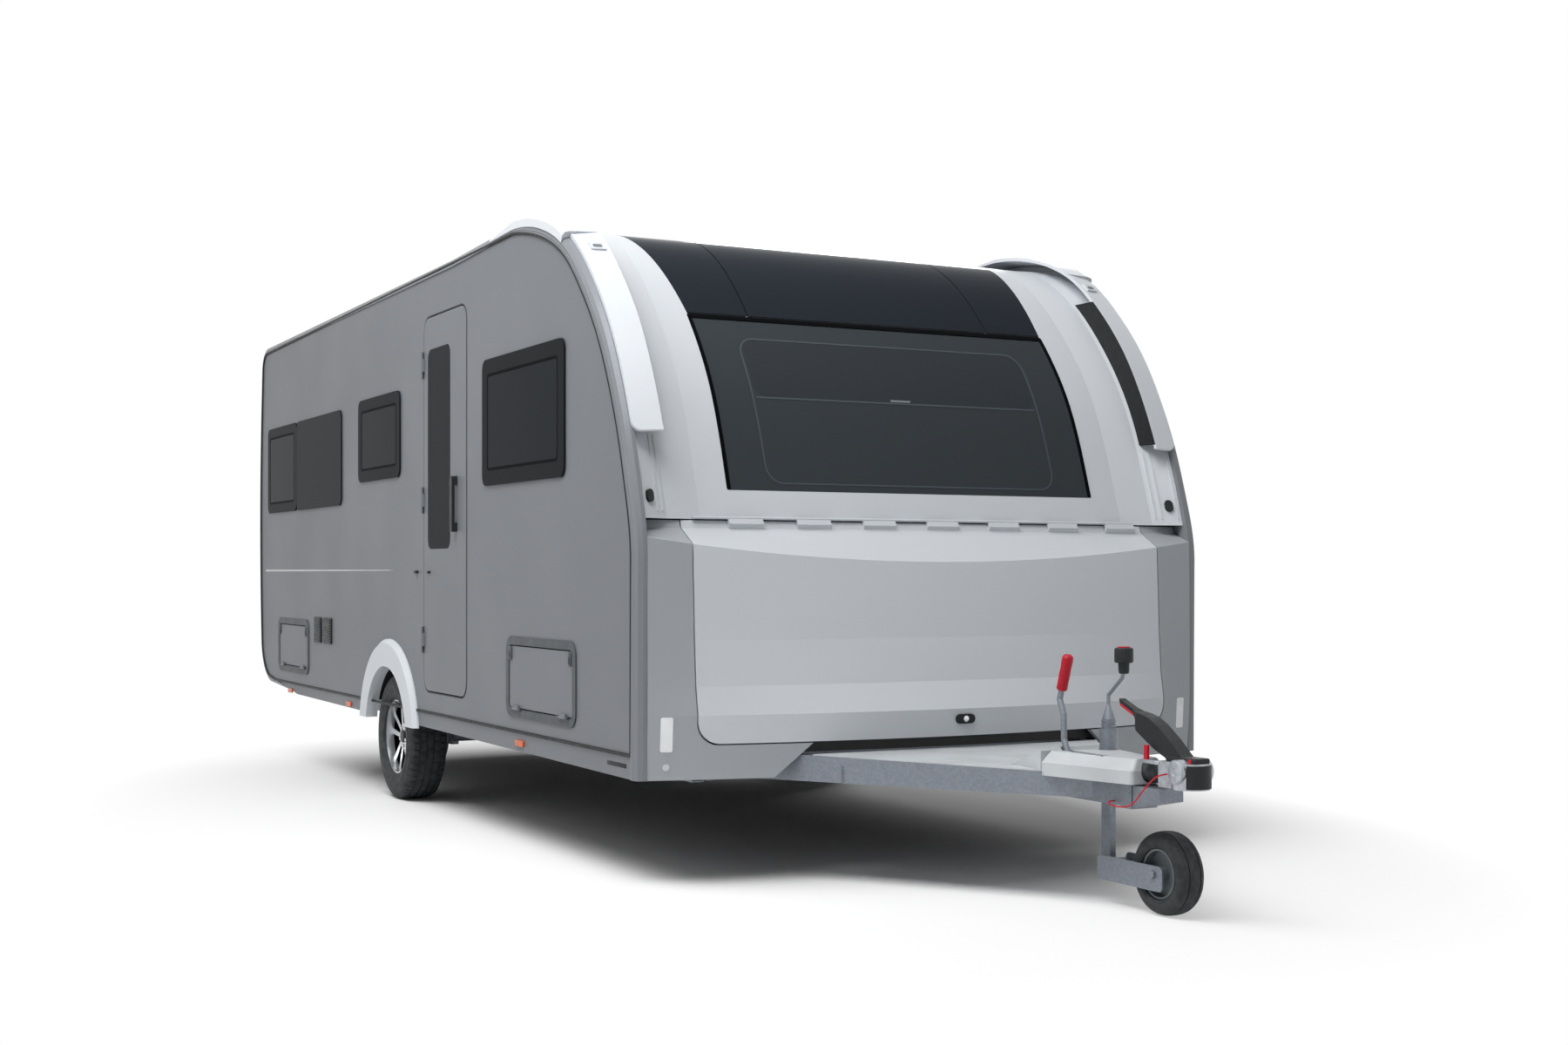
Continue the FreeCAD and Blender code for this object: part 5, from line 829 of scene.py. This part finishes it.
def wheels():
    """Road tyres with their tread, hub caps and bolts, and the jockey wheel's tyre and nuts."""
    for side, tag in SIDES:
        body = "wheel_" + tag
        centre = Vector((AXLE_X, side * WHEEL_Y, AXLE_Z))
        tyre = ring_lathe("road_tyre_" + tag, body, "road_tyre", centre, (0, side, 0),
                          [*TYRE_ROWS, *mirrored(TYRE_ROWS)], TREAD_SEGMENTS, tread)
        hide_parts("tyre_" + tag)
        face = Vector((AXLE_X, side * RIM_CENTRE_Y, AXLE_Z))
        lathe("hub_cap_" + tag, body, "rim_black", face, (0, side, 0), HUB_ROWS, 32)
        for k in range(BOLT_COUNT):
            angle = radians(360 / BOLT_COUNT * k + BOLT_START)
            place = face + Vector((cos(angle) * BOLT_CIRCLE, 0, sin(angle) * BOLT_CIRCLE))
            lathe(f"wheel_bolt_{tag}_{k}", body, "chrome", place, (0, side, 0), BOLT_ROWS, HEXAGON)
    tyre = ring_lathe("small_tyre", "jockey_wheel", "rubber_black", SMALL_WHEEL, (0, 1, 0),
                      [*SMALL_TYRE_ROWS, (0, SMALL_WHEEL_RADIUS), *mirrored(SMALL_TYRE_ROWS)], 72)
    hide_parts("jockey_tyre")
    for side, tag in SIDES:
        lathe("axle_nut_" + tag, "jockey_fork", "galvanised",
              Vector(SMALL_WHEEL) + Vector((0, side * SMALL_NUT_Y, 0)), (0, side, 0), SMALL_NUT_ROWS, HEXAGON)


# Drawbar: lever grip, crank knob, coupling dress and cable

CABLE = ((3.543, -0.043, 0.474), (3.543, -0.080, 0.474), (3.506, -0.086, 0.446), (3.466, -0.086, 0.412),
         (3.436, -0.086, 0.380), (3.398, -0.086, 0.358), (3.330, -0.086, 0.352), (3.282, -0.086, 0.364),
         (3.282, -0.048, 0.364))
CABLE_RADIUS, CABLE_STEPS = 0.0025, 20
GRIP_FOOT, GRIP_HEAD = Vector((3.0125, -0.060, 0.712)), Vector((3.0465, -0.060, 0.818))
GRIP_ROWS = ((-0.006, 0.0120), (-0.004, 0.0170), (0.0, 0.0188), (0.020, 0.0182), (0.045, 0.0192),
             (0.070, 0.0182), (0.095, 0.0194), (0.112, 0.0185), (0.1185, 0.0120), (0.1195, 0.001))
KNOB, KNOB_TOP = Vector((3.157, 0.086, 0.776)), Vector((0, 0, 0.0735))
STUB_ROWS = ((-0.012, 0.0120), (-0.010, 0.0165), (0.0, 0.0182), (0.026, 0.0190), (0.030, 0.024))
KNOB_ROWS = ((0.024, 0.0240), (0.026, 0.0300), (0.029, 0.0315), (0.068, 0.0315), (0.072, 0.0300),
             (0.0745, 0.0260), (0.0748, 0.002))
KNURL_DEPTH, KNURLED_ROWS = 0.0016, (2, 3)
KNOB_CAP_ROWS = ((0, 0.0215), (0.0035, 0.0215), (0.0050, 0.0195), (0.0052, 0.001))
HANDLE_EDGE = ((3.2645, -0.011, 0.6725), (3.290, -0.011, 0.6615), (3.315, -0.011, 0.6510),
               (3.336, -0.011, 0.6420))
HANDLE_EDGE_RADIUS = 0.0042
HANDLE_DOT = (3.630, -0.0295, 0.518)
DOT_ROWS = ((0, 0.0085), (0.0025, 0.0085), (0.0035, 0.0072), (0.0036, 0.001))
BALL_X, PAD_Z, SLEEVE_Y, PAD_CAP_Y = 3.597, 0.485, -0.027, 0.0595
SLEEVE_ROWS = ((0, 0.0382), (0.001, 0.0398), (0.053, 0.0398), (0.054, 0.0382), (0.054, 0.0375), (0, 0.0375))
PAD_CAP_ROWS = ((0, 0.0340), (0.0020, 0.0340), (0.0035, 0.0315), (0.0036, 0.0130), (0.0016, 0.0120),
                (0.0016, 0.001))
# Two corners and bevel of the blocks on the coupling
HANDLE_FOOT = (3.512, -0.0305, 0.5105), (3.6545, 0.0305, 0.5290), 0.006
RED_TAB = (3.424, -0.046, 0.508), (3.444, -0.036, 0.556), 0.003
TAB_FOOT = (3.420, -0.047, 0.498), (3.500, -0.034, 0.511), 0.003
BEAM_BOLT = (3.147, -0.034, 0.3605)
BEAM_BOLT_ROWS = ((-0.002, 0.011), (0.007, 0.011), (0.010, 0.008), (0.0102, 0.001))
GUARD_OUTER, GUARD_INNER, GUARD_FOOT, GUARD_HEAD = 0.0640, 0.0590, 0.434, 0.506
GUARD_STEPS, GUARD_TURN = 12, 52


def red_cable():
    """The breakaway cable, from the coupling's side back to the drawbar's box."""
    data = bpy.data.curves.new("red_cable", "CURVE")
    data.dimensions = "3D"
    data.bevel_depth = CABLE_RADIUS
    data.bevel_resolution = 3
    data.resolution_u = 16
    line = data.splines.new("NURBS")
    line.points.add(len(CABLE) - 1)
    for point, place in zip(line.points, CABLE):
        point.co = (*place, 1.0)
    line.order_u = 3
    line.use_endpoint_u = True
    data.materials.append(materials["cable_red"])
    cable = bpy.data.objects.new("red_cable", data)
    bpy.context.scene.collection.objects.link(cable)
    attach(cable, "root")
    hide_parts("breakaway_cable")


def knurled(row, k):
    """Grooves round the crank's knob."""
    return KNURL_DEPTH if row in KNURLED_ROWS and k % 3 == 0 else 0.0


def lever_and_crank():
    """The sleeve of the handbrake lever, and the knob of the jockey wheel's crank."""
    lathe("lever_grip", "root", "grip_red", GRIP_FOOT, GRIP_HEAD - GRIP_FOOT, GRIP_ROWS, 28)
    lathe("crank_stub", "root", "black_plastic", KNOB, (0, 0, 1), STUB_ROWS, 32)
    lathe("crank_knob", "root", "black_plastic", KNOB, (0, 0, 1), KNOB_ROWS, 36, knurled)
    lathe("knob_cap", "root", "grip_red", KNOB + KNOB_TOP, (0, 0, 1), KNOB_CAP_ROWS, 32)


def nose_guard():
    """The curved bumper in front of the coupling."""
    turns = [radians(-GUARD_TURN + 2 * GUARD_TURN * k / GUARD_STEPS) for k in range(GUARD_STEPS + 1)]
    outline = [(BALL_X + reach * cos(turn), reach * sin(turn))
               for reach, run in ((GUARD_OUTER, turns), (GUARD_INNER, turns[::-1])) for turn in run]
    prism("nose_guard", "root", "black_plastic", [(x, y, GUARD_FOOT) for x, y in outline],
          [(x, y, GUARD_HEAD) for x, y in outline])


def coupling_dress():
    """The red and black plastic parts, the pad caps and the tab of the coupling."""
    tube("handle_edge", "root", "grip_red", HANDLE_EDGE, HANDLE_EDGE_RADIUS)
    lathe("handle_dot", "root", "grip_red", HANDLE_DOT, (0, -1, 0), DOT_ROWS, 20)
    ring_lathe("pad_sleeve", "root", "black_plastic", (BALL_X, SLEEVE_Y, PAD_Z), (0, 1, 0), SLEEVE_ROWS, 48)
    nose_guard()
    block("handle_foot", "root", "black_plastic", *HANDLE_FOOT)
    for side, tag in SIDES:
        lathe("pad_cap_" + tag, "root", "cast_silver", (BALL_X, side * PAD_CAP_Y, PAD_Z), (0, side, 0),
              PAD_CAP_ROWS, 40)
    block("red_tab", "root", "grip_red", *RED_TAB)
    block("tab_foot", "root", "cast_silver", *TAB_FOOT)


def drawbar_details():
    """All that is added to the drawbar, but for the cable."""
    lever_and_crank()
    coupling_dress()
    lathe("beam_bolt", "root", "seal_black", BEAM_BOLT, (0, 0, -1), BEAM_BOLT_ROWS, HEXAGON)


# Back and roof: lamps, window frame, grab handles and rooflight ribs

LAMP_Y, BEZEL_WIDTH, BEZEL_SUNK, LENS_PROUD = 1.015, 0.006, 0.002, 0.003
# Height, radius and finish of each lamp in a cluster
REAR_LAMPS = ((0.935, 0.050, "red_lens"), (0.845, 0.034, "amber_lens"), (0.768, 0.034, "reflector_white"))
GRAB_Y, GRAB_REACH, GRAB_RADIUS = 1.02, 0.018, 0.011
GRAB_FOOT, GRAB_HEAD, GRAB_SUNK = 1.16, 1.44, 0.006
# Where a grab handle starts and ends its bend, from its end, and its reach at the start as a share
BEND_START, BEND_END, BEND_SHARE = 0.008, 0.030, 0.7
REAR_WINDOW_FRAME, REAR_FRAME_WIDTH, REAR_FRAME_HEIGHT = (-0.639, 0.639, 1.461, 1.949, 0.05), 0.055, 0.0015
BRAKE_LAMP = ("brake_lamp", "red_lens", -0.16, 0.16, 2.130, 2.152, 0.010, 6, 12, 0.010)
# Name and middle of each rooflight
ROOFLIGHTS = (("front", -0.6575), ("rear", -2.6575))
RIB_COUNT, RIB_STEP, RIB_HALF_LENGTH, RIB_HALF_WIDTH = 3, 0.12, 0.17, 0.009
RIB_SUNK, RIB_RISE, RIB_BEVEL = 0.004, 0.0035, 0.003


def lamp_cluster(side, tag, panel):
    """A rear lamp's round lenses in their bezels."""
    y = side * LAMP_Y
    for k, (z, radius, finish) in enumerate(REAR_LAMPS):
        face, _ = panel(y, z, 1)
        lathe(f"lamp_bezel_{tag}_{k}", "root", "chrome", (face.x + BEZEL_SUNK, y, z), (-1, 0, 0),
              ((0, radius + BEZEL_WIDTH), (0.005, radius + BEZEL_WIDTH), (0.0075, radius + 0.002),
               (0.0076, 0.001)), 40)
        lathe(f"lamp_lens_{tag}_{k}", "root", finish, (face.x - LENS_PROUD, y, z), (-1, 0, 0),
              ((0, radius), (0.005, radius), (0.009, radius * 0.8), (0.0105, radius * 0.4),
               (0.0108, 0.001)), 40)


def grab_handle(side, tag, panel):
    """A bar that stands off the rear panel and bends back into it at both ends."""
    y = side * GRAB_Y
    top = panel(y, GRAB_HEAD, 1)[0].x
    foot = panel(y, GRAB_FOOT, 1)[0].x
    tube("grab_handle_" + tag, "root", "black_plastic",
         ((foot + GRAB_SUNK, y, GRAB_FOOT), (foot - GRAB_REACH * BEND_SHARE, y, GRAB_FOOT + BEND_START),
          (foot - GRAB_REACH, y, GRAB_FOOT + BEND_END), (top - GRAB_REACH, y, GRAB_HEAD - BEND_END),
          (top - GRAB_REACH * BEND_SHARE, y, GRAB_HEAD - BEND_START), (top + GRAB_SUNK, y, GRAB_HEAD)),
         GRAB_RADIUS, 12)


def roof_ribs():
    """Stiffening ribs on the rooflights' lids."""
    for name, x in ROOFLIGHTS:
        lid = "rooflight_lid_" + name
        top = max(v.co.z for v in nodes[lid].data.vertices)
        for k in range(RIB_COUNT):
            y = (k - 1) * RIB_STEP
            # The ribs share the lids' plastic, darkened as painted shade
            block(f"roof_rib_{name}_{k}", lid, "roof_plastic_shaded",
                  (x - RIB_HALF_LENGTH, y - RIB_HALF_WIDTH, top - RIB_SUNK),
                  (x + RIB_HALF_LENGTH, y + RIB_HALF_WIDTH, top + RIB_RISE), RIB_BEVEL)


def back_details():
    """All that is added to the back and the roof."""
    panel = caster("rear_panel", "rear_window", "rear_lamps")
    draped_ring("rear_window_frame", "root", "pane_border", panel, REAR_WINDOW_FRAME, REAR_FRAME_WIDTH,
                REAR_FRAME_HEIGHT, way=1)
    for side, tag in SIDES:
        lamp_cluster(side, tag, panel)
        grab_handle(side, tag, panel)
    patch(panel, BRAKE_LAMP, way=1)
    roof_ribs()


# Stage: camera, lights and floor

EYE, EYE_TURN = (8.220, -3.865, 1.103), 62.136
EYE_LENS, EYE_SHIFT = 43.79, 0.0313
# Sideways direction where the fall starts and ends, and the light's strength at those two
WORLD_FALL = (-0.6, 0.6, 0.27, 0.10)
FLOOR_RADIUS, FLOOR_STRETCH = 60, (0.62, 1.0, 1.0)
FLOOR_FADE_START, FLOOR_FADE_END = 1.6, 2.7


def camera():
    """The photograph's viewpoint."""
    data = bpy.data.cameras.new("camera")
    data.sensor_width = 36.0
    data.sensor_fit = "HORIZONTAL"
    data.lens = EYE_LENS
    data.shift_y = EYE_SHIFT
    eye = bpy.data.objects.new("camera", data)
    eye.location = EYE
    eye.rotation_euler = (radians(90), 0, radians(EYE_TURN))
    bpy.context.scene.collection.objects.link(eye)
    bpy.context.scene.camera = eye


def area_lamp(name, place, target, width, height, power):
    """A soft box that looks at a point."""
    data = bpy.data.lights.new(name, "AREA")
    data.shape = "RECTANGLE"
    data.size = width
    data.size_y = height
    data.energy = power
    lamp = bpy.data.objects.new(name, data)
    lamp.location = place
    lamp.rotation_euler = (Vector(target) - Vector(place)).to_track_quat("-Z", "Y").to_euler()
    bpy.context.scene.collection.objects.link(lamp)


def seen_directly(tree):
    """1 for rays that look at the background, straight, in gloss or through glass, else 0."""
    path = tree.nodes.new("ShaderNodeLightPath")
    total = path.outputs["Is Camera Ray"]
    for ray in ("Is Glossy Ray", "Is Transmission Ray"):
        join = tree.nodes.new("ShaderNodeMath")
        join.operation = "MAXIMUM"
        tree.links.new(total, join.inputs[0])
        tree.links.new(path.outputs[ray], join.inputs[1])
        total = join.outputs["Value"]
    return total


def world():
    """Soft light, stronger from the vehicle's right than from its left; white where it is looked at."""
    scene_world = bpy.data.worlds.new("world")
    scene_world.use_nodes = True
    tree = scene_world.node_tree
    sky = tree.nodes["Background"]
    sky.inputs["Color"].default_value = (1, 1, 1, 1)
    apart = tree.nodes.new("ShaderNodeSeparateXYZ")
    tree.links.new(tree.nodes.new("ShaderNodeTexCoord").outputs["Generated"], apart.inputs["Vector"])
    fall = tree.nodes.new("ShaderNodeMapRange")
    for socket, value in zip(("From Min", "From Max", "To Min", "To Max"), WORLD_FALL):
        fall.inputs[socket].default_value = value
    tree.links.new(apart.outputs["Y"], fall.inputs["Value"])
    mix = tree.nodes.new("ShaderNodeMix")
    tree.links.new(seen_directly(tree), mix.inputs["Factor"])
    tree.links.new(fall.outputs["Result"], mix.inputs["A"])
    mix.inputs["B"].default_value = 1.0
    tree.links.new(mix.outputs["Result"], sky.inputs["Strength"])
    bpy.context.scene.world = scene_world


def floor():
    """A pale studio floor that fades into the white background."""
    bpy.ops.mesh.primitive_circle_add(vertices=128, radius=FLOOR_RADIUS, fill_type="NGON", location=(0, 0, 0))
    ground = bpy.context.object
    ground.name = "floor"
    shader = Shader("studio_floor", (250, 250, 250), 0.9)
    shader.set("Specular IOR Level", 0.0)
    length = shader.tree.nodes.new("ShaderNodeVectorMath")
    length.operation = "LENGTH"
    shader.link(shader.stretched(FLOOR_STRETCH), length.inputs[0])
    far = shader.spread(length.outputs["Value"], 0.0, 1.0, FLOOR_FADE_START, FLOOR_FADE_END)
    white = shader.tree.nodes.new("ShaderNodeEmission")
    mix = shader.tree.nodes.new("ShaderNodeMixShader")
    seen = shader.tree.nodes.new("ShaderNodeMath")
    seen.operation = "MULTIPLY"
    shader.link(far, seen.inputs[0])
    shader.link(seen_directly(shader.tree), seen.inputs[1])
    shader.link(seen.outputs["Value"], mix.inputs["Fac"])
    shader.link(shader.surface.outputs["BSDF"], mix.inputs[1])
    shader.link(white.outputs["Emission"], mix.inputs[2])
    shader.link(mix.outputs["Shader"], shader.tree.nodes["Material Output"].inputs["Surface"])
    ground.data.materials.append(shader.material)


camera()
red_cable()
world()
floor()
area_lamp("key", (2.6, -3.4, 6.4), (1.1, -0.6, 0.4), 7.0, 3.0, 500)
area_lamp("fill", (-3.0, -7.0, 6.0), (-1.2, -0.6, 1.0), 5.0, 3.0, 40)
area_lamp("back", (-7.5, 6.5, 4.6), (-1.8, 0.4, 1.2), 5.0, 4.0, 420)

bpy.context.scene.view_settings.view_transform = "Standard"

dress_nodes()
side_details()
front_details()
wheels()
drawbar_details()
back_details()
